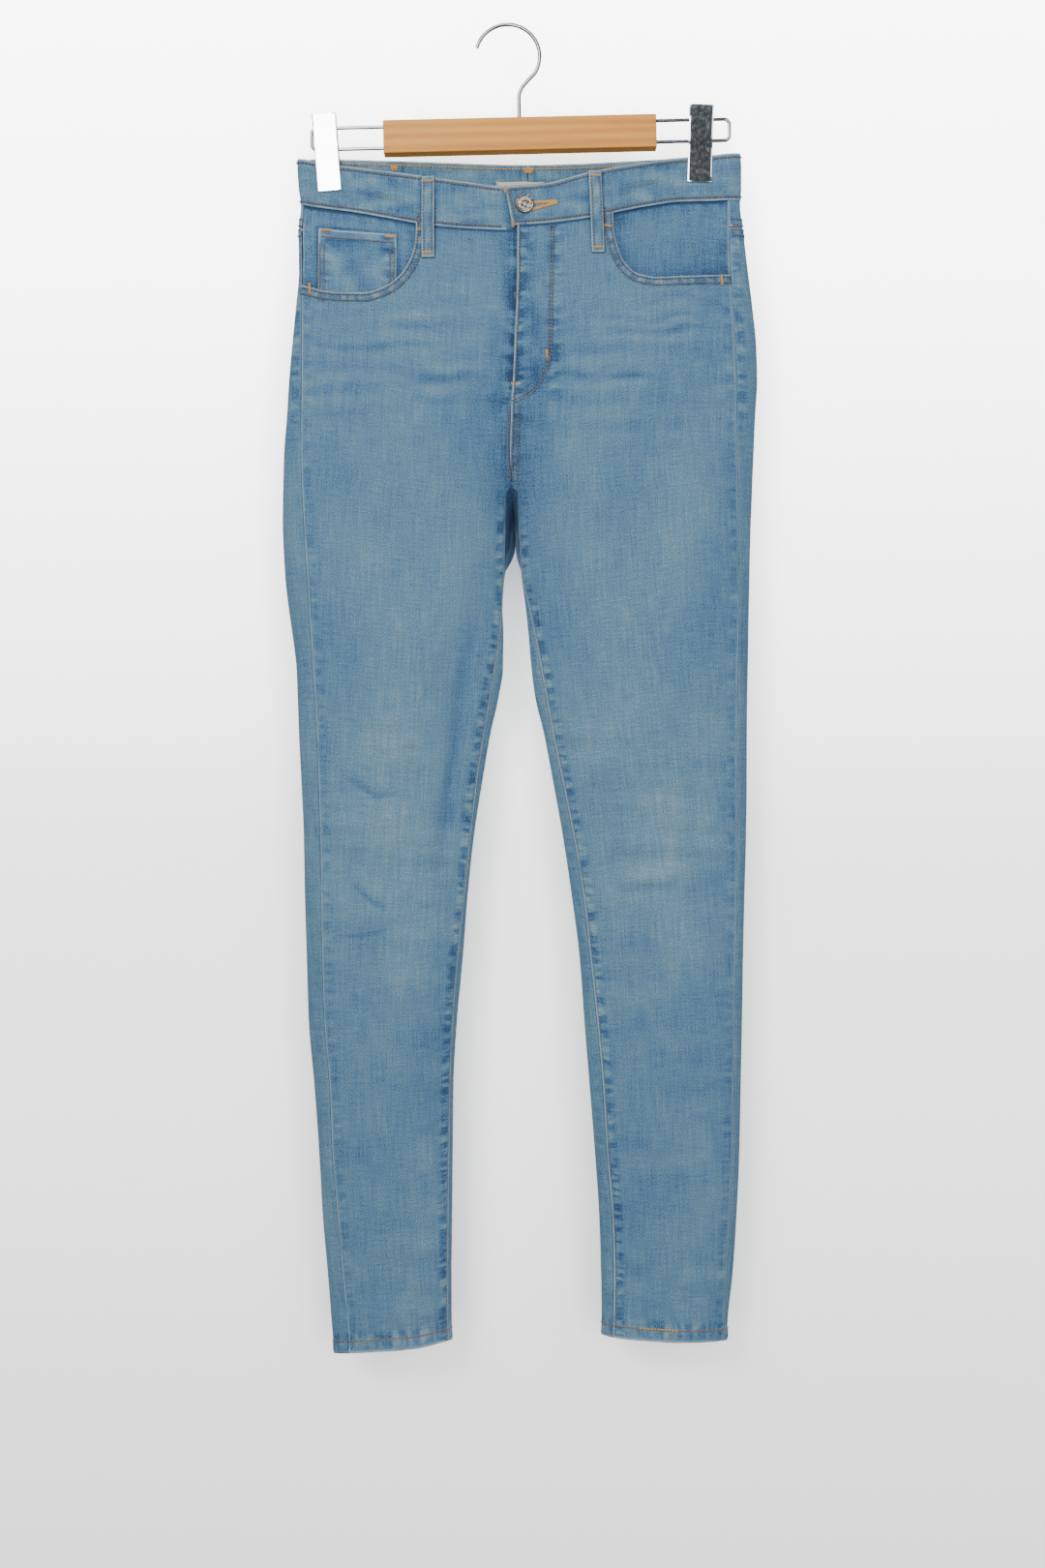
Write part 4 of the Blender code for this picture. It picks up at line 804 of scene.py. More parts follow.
def facing_out(points, outward=None):
    """The same grid, its columns turned round if it would face into the jeans."""
    normal = normals(points)
    if outward is None:
        way = np.sign(points[..., 1]) * normal[..., 1]
    else:
        way = normal @ np.array(outward)
    return points[:, ::-1] if np.sum(way) < 0 else points


def edge_distances(points):
    """How far each point lies from the four edges of its grid, along the cloth."""
    across = lengths(points, 1)
    down = lengths(points, 0)
    return {"start": across, "end": across[:, -1:] - across,
            "top": down, "bottom": down[-1:] - down}


OTHER_END = {"start": "end", "end": "start"}
EDGE_ROLL = 2.2        # how wide an edge rolls under
PUCKER_PITCH = 14.4
NOT_RUBBED = 9.0       # a distance to an edge at which the cloth isn't rubbed
MAPS_APART = 170.0     # between the maps of two grids in one piece


def tailored(points, edges, lift=0.0):
    """Rolls, raises and puckers the edges of a panel, and says how worn it is there and where
    the painted seam shade falls.

    edges: for each named edge, how much it rolls under (mm), how much it is raised (mm) over
    how wide a strip, how puckered it is and whether it is rubbed pale, which also gives it a
    painted shade in the seam's ditch at its very edge.
    """
    gaps = edge_distances(points)
    out = np.zeros(points.shape[:2]) + lift
    rope = np.zeros(points.shape[:2])
    rub = np.full(points.shape[:2], NOT_RUBBED)
    for name, (roll, rise, width, pucker, pale) in edges.items():
        gap = gaps[name]
        along = gaps["top"] if name in ("start", "end") else gaps["start"]
        t = np.clip(1 - gap / EDGE_ROLL, 0.0, 1.0)
        out = out - roll * (1 - np.sqrt(1 - np.minimum(t, 0.999) ** 2))
        out = out + rise * (1 - ease(gap, width * 0.75, width * 1.15))
        near = (1 - ease(gap, 7.0, 12.5)) * ease(gap, EDGE_ROLL, 3.0)
        near = near * (1.12 if pucker >= 1.0 else 1.0)
        wave = np.sin(2 * math.pi * along / PUCKER_PITCH
                      + 1.3 * wander(along, gap, 60.0, 60.0, 7) + gap / 4.0)
        out = out + 0.22 * pucker * wave * near
        if name in ("start", "end"):
            rope = np.maximum(rope, pucker * near)
        else:
            rope = np.where(pucker * near > np.abs(rope), -pucker * near, rope)
        if pale:
            rub = np.minimum(rub, gap / pale)
    return points + normals(points) * out[..., None], rope, rub


class Cloth:
    """A grid of points with its faded tones and painted shade, and the stitch rows that follow its
    edges.
    """

    def __init__(self, points, edges, lift=0.0, fade=0.0, left_out=None, outward=None, rope=0.0):
        flipped = facing_out(points, outward) is not points
        if flipped:
            points = points[:, ::-1]
            edges = {OTHER_END.get(name, name): value for name, value in edges.items()}
            lift, fade, left_out, rope = (part[:, ::-1] if isinstance(part, np.ndarray) else part
                                          for part in (lift, fade, left_out, rope))
        self.flipped = flipped
        self.left_out = left_out
        self.points, self.rope, self.rub = tailored(points, edges, lift)
        self.rope = np.where(np.abs(rope) > np.abs(self.rope), rope, self.rope)
        self.fade = np.zeros(points.shape[:2]) + fade
        self.normal = normals(self.points)
        middle = points.shape[1] // 2
        across = lengths(points, 1)
        self.across = across - across[:, middle:middle + 1]
        self.down = np.repeat(lengths(points, 0)[:, middle:middle + 1], points.shape[1], axis=1)

    def turned(self, part):
        """A part for this cloth, its columns turned round if the cloth's were."""
        return part[:, ::-1] if self.flipped else part

    def size(self):
        """Flat width, length and area in metres and square metres."""
        wide = lengths(self.points, 1)
        tall = lengths(self.points, 0)
        kept = np.ones(self.points.shape[:2]) if self.left_out is None else 1.0 - self.left_out
        cell = np.cross(np.gradient(self.points, axis=0), np.gradient(self.points, axis=1))
        area = np.sum(np.linalg.norm(cell, axis=-1) * kept) * MM * MM
        width = np.max(np.sum(np.diff(wide, axis=1) * kept[:, 1:], axis=1)) * MM
        length = np.max(np.sum(np.diff(tall, axis=0) * kept[1:], axis=0)) * MM
        return width, length, area

    def line(self, edge, gap, rows=slice(None), inside=0.0):
        """Places and normals along an edge, a distance in from it."""
        if self.flipped:
            edge = OTHER_END.get(edge, edge)
        points, normal = self.points, self.normal
        if edge in ("top", "bottom"):
            points, normal = points.swapaxes(0, 1), normal.swapaxes(0, 1)
        if edge in ("end", "bottom"):
            points, normal = points[:, ::-1], normal[:, ::-1]
        if edge in ("top", "bottom") and self.flipped:
            points, normal = points[::-1], normal[::-1]
        points, normal = points[rows], normal[rows]
        along = lengths(points, 1)
        index = np.clip(np.sum(along < gap, axis=1) - 1, 0, along.shape[1] - 2)
        row = np.arange(len(points))
        low, high = along[row, index], along[row, index + 1]
        t = np.clip((gap - low) / np.maximum(high - low, 1e-9), 0.0, 1.0)[:, None]
        place = points[row, index] * (1 - t) + points[row, index + 1] * t
        facing = normal[row, index]
        if inside:
            return place - facing * inside, -facing
        return place, facing


def shell(name, parts, wall, replaces, slot="denim", looks=(DENIM, REVERSE)):
    """One piece of cloth from its grids, with a wall on its inner side. It rides on the object,
    and it stands for the CAD node that it replaces."""
    bm = bmesh.new()
    spots = []
    # The grids stand a metre apart until their points get their places
    for k, part in enumerate(parts):
        rows, columns = part.points.shape[0] - 1, part.points.shape[1] - 1
        bmesh.ops.create_grid(bm, x_segments=columns, y_segments=rows, size=0.5,
                              matrix=Matrix.Translation((2.0 * k, 0.0, 0.0)))
    left_out = []
    for vertex in bm.verts:
        k = round(vertex.co.x / 2.0)
        part = parts[k]
        rows, columns = part.points.shape[0] - 1, part.points.shape[1] - 1
        row = round((0.5 - vertex.co.y) * rows)
        col = round((vertex.co.x - 2.0 * k + 0.5) * columns)
        if part.left_out is not None and part.left_out[row, col]:
            left_out.append(vertex)
        else:
            spots.append((k, row, col))
    bmesh.ops.delete(bm, geom=left_out, context="VERTS")
    mesh = mesh_of(name, bm)
    spots = np.array(spots)
    place = np.zeros((len(spots), 3))
    flat = np.zeros((len(spots), 2))
    wear = np.zeros((len(spots), 3))
    for k, part in enumerate(parts):
        mine = spots[:, 0] == k
        at = (spots[mine, 1], spots[mine, 2])
        place[mine] = part.points[at] * MM
        flat[mine] = np.stack([part.across[at] + MAPS_APART * k, -part.down[at]], axis=-1) * MM
        wear[mine] = np.stack([part.rub[at], part.rope[at], part.fade[at]], axis=-1)
    mesh.vertices.foreach_set("co", place.astype(np.float32).ravel())
    corners = np.zeros(len(mesh.loops), dtype=np.int32)
    mesh.loops.foreach_get("vertex_index", corners)
    layer = mesh.uv_layers.new(name="cloth")
    layer.uv.foreach_set("vector", flat[corners].astype(np.float32).ravel())
    worn = mesh.attributes.new("wear", "FLOAT_VECTOR", "POINT")
    worn.data.foreach_set("vector", wear.astype(np.float32).ravel())
    mesh.update()
    mesh.shade_smooth()
    for look in looks:
        mesh.materials.append(look)
    piece = stood(name, mesh)
    thick = piece.modifiers.new("wall", "SOLIDIFY")
    thick.thickness = wall * MM
    thick.offset = -1.0
    thick.material_offset = 1 if len(mesh.materials) > 1 else 0
    settle(piece, slot, replaces)
    width, length, area = parts[0].size()


# ---------------------------------------------------------------- stitches

SEWN = {"gold": [], "tonal": [], "rust": []}
# Rows of stitches: thread, pitch, length and thickness
ROWS = {
    "seam": ("tonal", 3.3, 3.2, 1.5),
    "inseam": ("tonal", 3.6, 2.4, 0.9),
    "hem": ("rust", 3.3, 2.8, 1.4),
    "hem, gold": ("gold", 3.3, 2.7, 1.75),
    "pocket": ("tonal", 2.9, 2.5, 1.9),
    "loop": ("tonal", 2.9, 2.2, 1.5),
    "band": ("tonal", 3.4, 2.9, 2.2),
    "band inside": ("gold", 3.0, 2.5, 1.45),
    "fly": ("tonal", 3.3, 2.7, 1.35),
    "label": ("gold", 2.4, 1.9, 0.5),
}


def resampled(path, step):
    """A path of places and normals at even steps."""
    along = np.concatenate([[0.0], np.cumsum(np.linalg.norm(np.diff(path[0], axis=0), axis=1))])
    want = np.arange(step / 2, along[-1], step)
    return [np.stack([np.interp(want, along, part[:, k]) for k in range(3)], axis=-1)
            for part in path]


def sew(path, kind="seam"):
    """A row of lockstitches along a path of places and normals."""
    colour_name, pitch, length, thick = ROWS[kind]
    places, ups = resampled(path, pitch)
    if len(places) < 2:
        return
    ways = np.gradient(places, axis=0)
    row = []
    for place, up, way in zip(places, ups, ways):
        along = Vector(way).normalized()
        out = Vector(up)
        out = (out - along * out.dot(along)).normalized()
        side = out.cross(along)
        turn = Matrix((side, out, along)).transposed().to_4x4()
        size = Matrix.Diagonal((thick * 1.25, thick * 0.6, length, 1.0))
        where = Vector(place) + out * thick * 0.26
        row.append(Matrix.Scale(MM, 4) @ Matrix.Translation(where) @ turn @ size)
    SEWN[colour_name].append(row)


def sew_along(piece, edges, gaps, rows, kind="seam"):
    """Rows along some edges of a piece, at some distances in from them."""
    for edge in edges:
        for gap in gaps:
            sew(piece.line(edge, gap, rows), kind)


def bar_tack(place, up, along, length, width):
    """A dense zigzag across a short line, that holds a pocket or loop."""
    along = Vector(along).normalized()
    out = (Vector(up) - along * Vector(up).dot(along)).normalized()
    side = out.cross(along)
    count = max(int(length / 0.75), 4)
    row = []
    for k in range(count):
        lean = 0.35 if k % 2 else -0.35
        way = (side + along * lean).normalized()
        turn = Matrix((out.cross(way), out, way)).transposed().to_4x4()
        where = Vector(place) + along * (k / (count - 1) - 0.5) * length + out * 0.32
        size = Matrix.Diagonal((0.9, 1.0, width * 1.8, 1.0))
        row.append(Matrix.Scale(MM, 4) @ Matrix.Translation(where) @ turn @ size)
    SEWN["gold"].append(row)


def tack_on(leg, x, drop, along, length, width, lift, front=True):
    """A bar tack at a place on a face; along is x and drop of its direction."""
    face = on_front if front else on_back
    here, right, low = face(leg, x, drop), face(leg, x + 2.0, drop), face(leg, x, drop + 2.0)
    up = np.cross(right - here, low - here)
    up /= np.linalg.norm(up)
    if up[1] * (-1 if front else 1) < 0:
        up = -up
    way = (right - here) * along[0] + (low - here) * along[1]
    bar_tack(here + up * lift, up, way, length, width)


def on_face(leg, xs, drops, front=True, lift=0.0):
    """A path on a face, for stitching."""
    face = on_front if front else on_back
    xs, drops = np.asarray(xs, float), np.asarray(drops, float)
    here = face(leg, xs, drops)
    up = np.cross(face(leg, xs + 1.0, drops) - here, face(leg, xs, drops + 1.0) - here)
    up /= np.linalg.norm(up, axis=-1, keepdims=True)
    up *= np.sign(up[:, 1:2]) * (-1 if front else 1)
    return here + up * lift, up


def all_stitches():
    """All rows and tacks of a thread become one piece."""
    for colour_name, look, slot in (("gold", GOLD, "thread_gold"),
                                    ("tonal", TONAL, "thread_tonal"),
                                    ("rust", RUST, "thread_gold")):
        whole = bmesh.new()
        for row in SEWN[colour_name]:
            part = bmesh.new()
            for place in row:
                bmesh.ops.create_uvsphere(part, u_segments=5, v_segments=4, radius=0.5,
                                          matrix=place)
            bmesh.ops.recalc_face_normals(part, faces=part.faces)
            mesh = mesh_of("row", part)
            whole.from_mesh(mesh)
            bpy.data.meshes.remove(mesh)
        mesh = mesh_of("stitches_" + colour_name, whole, look)
        mesh.shade_smooth()
        settle(stood(mesh.name, mesh), slot)


# ---------------------------------------------------------------- how the denim has faded, and its painted shade

def fading_and_shade(leg, x, drop, front):
    """How faded the denim is, -1 unworn indigo and 1 worn pale, with painted shade at the crotch
    and in the creases' troughs, painted highlight on their ridges, and whiskers that are partly
    painted shade.
    """
    outer = leg_line(leg, OUTER, drop)
    inner = np.where(drop < CROTCH_FRONT, 5.0, leg_line(leg, FRONT_IN, drop))
    t = (2 * x - outer - inner) / np.abs(outer - inner)
    thigh_x = 0.08 if leg == "right" else -0.02
    seed = 201 if leg == "right" else 207
    value = -0.05 + 0.19 * hill(drop - 520.0, 230.0) * hill(t - thigh_x, 0.62)
    value = value + 0.28 * hill(drop - 790.0, 130.0) * hill(t, 0.66)
    value = value + 0.05 * ease(np.abs(t), 0.70, 1.0) - 0.05 * (1 - ease(drop, 560.0, 700.0))
    value = value - 0.08 * ease(drop, 880.0, 1000.0) + 0.20 * ease(drop, 1070.0, 1200.0)
    value = value + 0.05 * wander(x, drop, 110.0, 200.0, seed)
    value = value + 0.06 * wander(x, drop, 160.0, 36.0, seed + 1) * ease(drop, 560.0, 700.0)
    # A painted shade darkens the crotch, where the legs part
    value = value - 0.55 * hill(x - 7.0, 26.0) * hill(drop - 425.0, 52.0)
    if front:
        near_fly = hill(x - 14.0, 30.0) * ease(drop, 190.0, 215.0) * (1 - ease(drop, 360.0, 430.0))
        value = value - (0.27 + 0.17 * wander(x, drop, 26.0, 44.0, 77)) * near_fly
        # Whiskers: partly painted shade of level creases, partly the wash's own marks
        for which, low, high, deep in WHISKERS:
            if which == leg:
                uneven = drop + 2.2 * wander(x, drop, 70.0, 60.0, 55)
                gap, along = near_line(x, uneven, (low, high))
                tail = np.sin(math.pi * np.clip(along, 0.02, 0.98)) ** 0.7
                patchy = 0.75 + 0.35 * wander(x, drop, 46.0, 90.0, 56)
                band = hill(gap, 3.6) - 0.35 * hill(gap - 8.0, 4.5)
                value = value - 2.4 * deep * band * tail * patchy
        # Between the whiskers the hips are streaked level
        hips = hill(drop - 312.0, 62.0) * (1 - hill(x - 14.0, 40.0))
        value = value + 0.10 * wander(x, drop, 170.0, 17.0, 311) * hips
        for at_x, at_drop, reach, deep in FLY_SHADES:
            value = value - deep * hill(np.hypot(x - at_x, drop - at_drop), reach)
    else:
        value = value + 0.30 * hill(drop - 340.0, 95.0) * hill(t, 0.6)
    # Creases get painted shade along their troughs and painted highlight on their ridges
    for which, ahead, width, height, *points in CREASES:
        if ahead == front and which == leg and drop.max() > 260.0:
            gap, along = near_line(x, drop, points)
            crease_shading = 1.15 if height < 0 and width < 4.0 else 0.20
            value = value + crease_shading * height * hill(gap, width * 0.7) * np.sin(math.pi * along) ** 0.5
    return value


def band_fade(x, drop, front):
    """The waistband's fading: darker right of the button and by the pockets."""
    value = 0.05 - 0.12 * ease(x, -20.0, 40.0) + 0.10 * ease(x, 90.0, 150.0)
    value = value + 0.16 * wander(x, drop, 60.0, 16.0, 301)
    value = value + 0.10 * wander(x, drop, 26.0, 22.0, 302)
    value = value - 0.14 * hill(x + 110.0, 40.0) - 0.10 * hill(x - 130.0, 36.0)
    return value if front else value + 0.02


# ---------------------------------------------------------------- the panels

def opening_curve(leg, count=150):
    """A front pocket's edge from the waistband to the side seam."""
    x, drop = drawn_line(OPENINGS[leg], 900)
    kept = np.abs(x) <= np.abs(leg_line(leg, SIDE, drop)) - 0.4
    x, drop = x[kept], drop[kept]
    along = travelled(x, drop)
    want = np.linspace(0.0, along[-1], count)
    return np.interp(want, along, x), np.interp(want, along, drop)


def opening_gap(leg, x, drop):
    """How far points lie from a front pocket's edge."""
    return near_line(x, drop, list(zip(*opening_curve(leg, 60))))[0]


def in_opening(leg, x, drop, past):
    """Whether points lie in a pocket's opening, or within a distance of its edge."""
    xs, drops = np.array(OPENINGS[leg]).T
    end_x = xs[-1] + math.copysign(OPENING_PAST, xs[-1])
    above = drops[0] - 40.0
    corners = [*zip(xs, drops), (end_x, drops[-1]), (end_x, above), (xs[0], above)]
    inside = np.zeros(x.shape, bool)
    for (ax, ad), (bx, bd) in zip(corners, corners[1:] + corners[:1]):
        if ad == bd:
            continue
        crosses = (ad > drop) != (bd > drop)
        inside ^= crosses & (x < (bx - ax) * (drop - ad) / (bd - ad) + ax)
    return inside | (opening_gap(leg, x, drop) < past)


def pocket_hem(leg):
    """The turned and twice-stitched edge of a front pocket's opening."""
    x, drop = opening_curve(leg)
    way = heading(x, drop)
    away = np.stack([-way[:, 1], way[:, 0]], axis=-1)
    if np.sum(away[:, 0]) * (1 if leg == "right" else -1) < 0:
        away = -away
    across = np.concatenate([np.linspace(0.0, 2.4, 7), np.linspace(3.4, POCKET_HEM + 1.4, 9)])
    xs = x[:, None] + away[:, :1] * across
    drops = drop[:, None] + away[:, 1:] * across
    grid = on_front(leg, xs, drops)
    rise = 0.62 * (1 - ease(across, POCKET_HEM - 2.6, POCKET_HEM + 0.6)) - 0.12
    along = np.arange(len(x))[:, None] * 1.6
    rise = rise + 0.17 * np.sin(2 * math.pi * along / 8.2 + across / 3.0
                                + wander(along, across, 40.0, 40.0, 8)) * ease(across, 0.5, 3.0)
    fade = fading_and_shade(leg, xs, drops, True) + 0.12
    return Cloth(grid, {"start": (0.8, 0.0, 3.0, 0.9, 1.15)}, rise, fade, outward=(0, -1, 0),
                 rope=0.75 * (1 - ease(across, POCKET_HEM - 1.5, POCKET_HEM + 1.0)) + 0 * xs)


def edged(width, start, end, count):
    """Places across a width of cloth: set distances from both edges, and evenly between."""
    width = np.asarray(width, float)[..., None]
    between = np.linspace(0.0, 1.0, count + 2)[1:-1]
    middle = start[-1] + (width - end[-1] - start[-1]) * between
    first = np.broadcast_to(start, middle.shape[:-1] + (len(start),))
    last = width - np.array(end[::-1])
    return np.concatenate([first, middle, last], axis=-1)


SEAM_STEPS = (0.0, 0.3, 0.8, 1.4, 2.0, 2.6, 3.3, 4.2, 5.4, 6.8, 8.4, 10.0, 12.0)
SIDE_STEPS = (0.0, 0.3, 0.8, 1.4, 2.0, 2.6, 3.4, 4.6, 6.2, 8.0)
HEM_STEPS = (0.0, 0.5, 1.2, 2.0, 3.0, 4.2, 5.6, 7.2, 8.8, 10.2, 11.2, 12.2, 13.4, 15.0)
TOP_STEPS = (0.0, 1.2, 2.4, 3.2, 4.0, 4.8, 5.8, 7.0, 8.6, 10.6)


def hemmed(gaps, seed):
    """A leg's hem, turned up twice: where it is, how far it stands out, and how ropy it is."""
    hem = 1 - ease(gaps["bottom"], HEM_DEEP - 1.0, HEM_DEEP + 1.2)
    ripple = wander(gaps["start"], gaps["bottom"], 20.0, 30.0, seed)
    rope = np.maximum(0.95 * hill(gaps["bottom"] - HEM_DEEP - 2.5, 5.0),
                      0.9 * hill(gaps["bottom"] - 7.0, 5.0))
    return hem, hem * (0.55 + 0.22 * ripple), rope


def front_panel(leg):
    """From the fly or centre seam to the side seam, with the pocket's opening cut out."""
    right = leg == "right"
    toward = -1.0 if right else 1.0
    first = float(band_bottom(leg, leg_line(leg, INSEAM, 200.0), True))
    last = float(hem_drop(leg, leg_line(leg, INSEAM, 1225.0)))
    rows = []
    levels = first + edged(last - first, TOP_STEPS, HEM_STEPS, int((last - first) / STEP) - 10)
    for level in levels:
        down = (level - first) / (last - first)
        under = 5.0 * (1 - ease(level, *FLY_ENDS)) if right else 0.0
        drops, across = level, None
        for _ in range(3):
            inner = leg_line(leg, INSEAM, drops) + under + toward * MEET
            outer = leg_line(leg, SIDE, drops) - toward * MEET
            if across is None:
                across = edged(abs(outer - inner), SEAM_STEPS, SIDE_STEPS, 76)
            wider = np.abs(outer - inner) - across[-1]
            x = inner + toward * across
            x = x + toward * wider * ease(across, SEAM_STEPS[-1], across[-1] - SIDE_STEPS[-1])
            top = band_bottom(leg, x, True) - 3.0
            drops = top + (hem_drop(leg, x) - top) * down
        rows.append(np.stack([x, drops], axis=-1))
    flat = np.array(rows)
    x, drop = flat[..., 0], flat[..., 1]
    points = on_front(leg, x, drop)
    gaps = edge_distances(points)
    above = 1 - ease(drop, *FLY_ENDS)
    fork = 1 - ease(drop, 425.0, 440.0)
    # The right panel goes under the fly's lap, and the left one swells over the zip
    if right:
        lift = -1.3 * above * (1 - ease(gaps["start"], 5.0, 12.0))
        lift = lift + 0.35 * (1 - above) * fork * (1 - ease(gaps["start"], 7.0, 10.0))
    else:
        lift = 0.75 * above * (1 - ease(gaps["start"], 26.0, 42.0)) * ease(gaps["top"], 4.0, 18.0)
        lift = lift + 0.5 * fork * (1 - ease(gaps["start"], 8.0, 11.0))
    hem, hem_rise, level_rope = hemmed(gaps, 31)
    lift = lift + hem_rise
    fade = fading_and_shade(leg, x, drop, True) + 0.10 * hem
    # Painted shadows: dark lines under the waistband and beside the fly's edge, each with a
    # broader, fainter painted shade beside it
    fade = fade - 1.5 * hill(gaps["top"] - 4.1, 1.0) - 0.2 * hill(gaps["top"] - 3.0, 9.0)
    if right:
        fade = fade - 0.6 * above * hill(gaps["start"] - 6.4, 1.4)
        fade = fade - 0.16 * above * hill(gaps["start"] - 12.0, 9.0)
    fly_side = (1 - ease(drop, 396.0, 440.0)) * (1 - ease(gaps["start"], 9.0, 19.0))
    rope = 0.62 * fly_side * ease(gaps["start"], 2.6, 3.4)
    if not right:
        rope = np.maximum(rope, 0.92 * above * hill(x - 44.0, 7.0))
    rope = np.where(level_rope > rope, -level_rope, rope)
    # The thigh seam's puckers run the whole leg, the side seam's are fainter
    edges = {"start": (0.6, 0.4, 2.8, 1.0, 1.0), "end": (0.75, 0.2, 2.4, 0.5, 0.8),
             "bottom": (0.7, 0.0, 3.0, 0.0, 1.2)}
    removed = in_opening(leg, x, drop, 3.0)
    panel = Cloth(points, edges, lift, fade, removed, (0, -1, 0), rope)
    # The start edge is neither rubbed pale nor given the painted seam shade at the crotch, nor
    # where the left panel laps over it
    hidden = hill(drop - CROTCH_FRONT - 8.0, 16.0)
    if right:
        hidden = np.maximum(hidden, 1 - ease(drop, CROTCH_FRONT, CROTCH_FRONT + 4.0))
    hidden = NOT_RUBBED * hidden * (gaps["start"] < 12.0)
    panel.rub = panel.rub + panel.turned(hidden)
    # Below the fly the seam lies flat
    calm = (0.8 if right else 0.45) * ease(drop, 340.0, 362.0) * (1 - ease(drop, 440.0, 464.0))
    calm = 1 - np.maximum(calm, 0.95 * hill(drop - 432.0, 18.0)) * (gaps["start"] < 30.0)
    panel.rope = panel.rope * panel.turned(calm)
    strip = pocket_hem(leg)
    sew(panel.line("start", 2.7, slice(int((CROTCH_FRONT - first) / STEP) + 9, -1)), "inseam")
    sew(panel.line("bottom", HEM_DEEP, slice(1, -1)), "hem")
    sew_along(strip, ("start",), (2.6, 8.0), slice(2, -1), "pocket")
    if right:
        low = slice(*np.searchsorted(levels, (FLY_BOTTOM + 4, CROTCH_FRONT - 4)))
        sew(panel.line("start", 2.2, low))
    else:
        sew(panel.line("bottom", HEM_DEEP, slice(23, 56)), "hem, gold")
        start, end = np.searchsorted(levels, (FLY_BOTTOM, CROTCH_FRONT - 2))
        sew(panel.line("start", 2.4, slice(2, end)))
        sew(panel.line("start", 7.6, slice(start, end)))
    shell(f"denim_front_{leg}", [panel, strip], CLOTH, replaces=f"front_{leg}")


def yoke_seam(share):
    """The drop of the yoke's lower seam on the way round the back."""
    behind = np.clip(share / TURN_AT, 0.0, 1.0)
    return YOKE_CENTRE + (YOKE_SIDE - YOKE_CENTRE) * np.sin(math.pi / 2 * behind)


def side_shares(count):
    """Shares of the way round the back: closer together round the outer edge."""
    behind = np.linspace(0.0, TURN_AT, int(count * 0.8))
    ahead = np.linspace(TURN_AT, 1.0, int(count * 0.2) + 1)[1:]
    return np.concatenate([behind, ahead])


def around_bottom(leg, x, ahead):
    """The drop of the waistband's lower edge, in front where ahead is true."""
    return np.where(ahead, band_bottom(leg, x, True), band_bottom(leg, x, False))


def yoke(leg):
    """The V-shaped hip piece between the waistband and a back panel."""
    share = side_shares(90)
    rows = []
    for down in np.linspace(0.0, 1.0, 30):
        drops = np.full(len(share), YOKE_SIDE)
        for _ in range(2):
            points = round_the_side(leg, share, drops)
            top = around_bottom(leg, points[:, 0], points[:, 1] < 0) - 3.0
            drops = top + (yoke_seam(share) - 0.2 - top) * down
        rows.append(round_the_side(leg, share, drops))
    points = np.array(rows)
    # The seat seam closes over the yokes' V, the back panel laps over the yoke below
    edges = {"start": (0.5, 0.3, 5.0, 0.5, 1.0), "end": (0.7, 0.1, 4.0, 0.3, 0.8),
             "bottom": (0.6, 0.4, 8.0, 0.6, 1.0)}
    fade = fading_and_shade(leg, points[..., 0], -points[..., 2], False)
    piece = Cloth(points, edges, 0.0, fade)
    sew_along(piece, ("bottom",), (1.8, 7.6), slice(2, -2))
    if leg == "left":
        sew_along(piece, ("start",), (1.8, 7.6), slice(3, None))
    shell(f"denim_yoke_{leg}", [piece], CLOTH, replaces=f"yoke_{leg}")


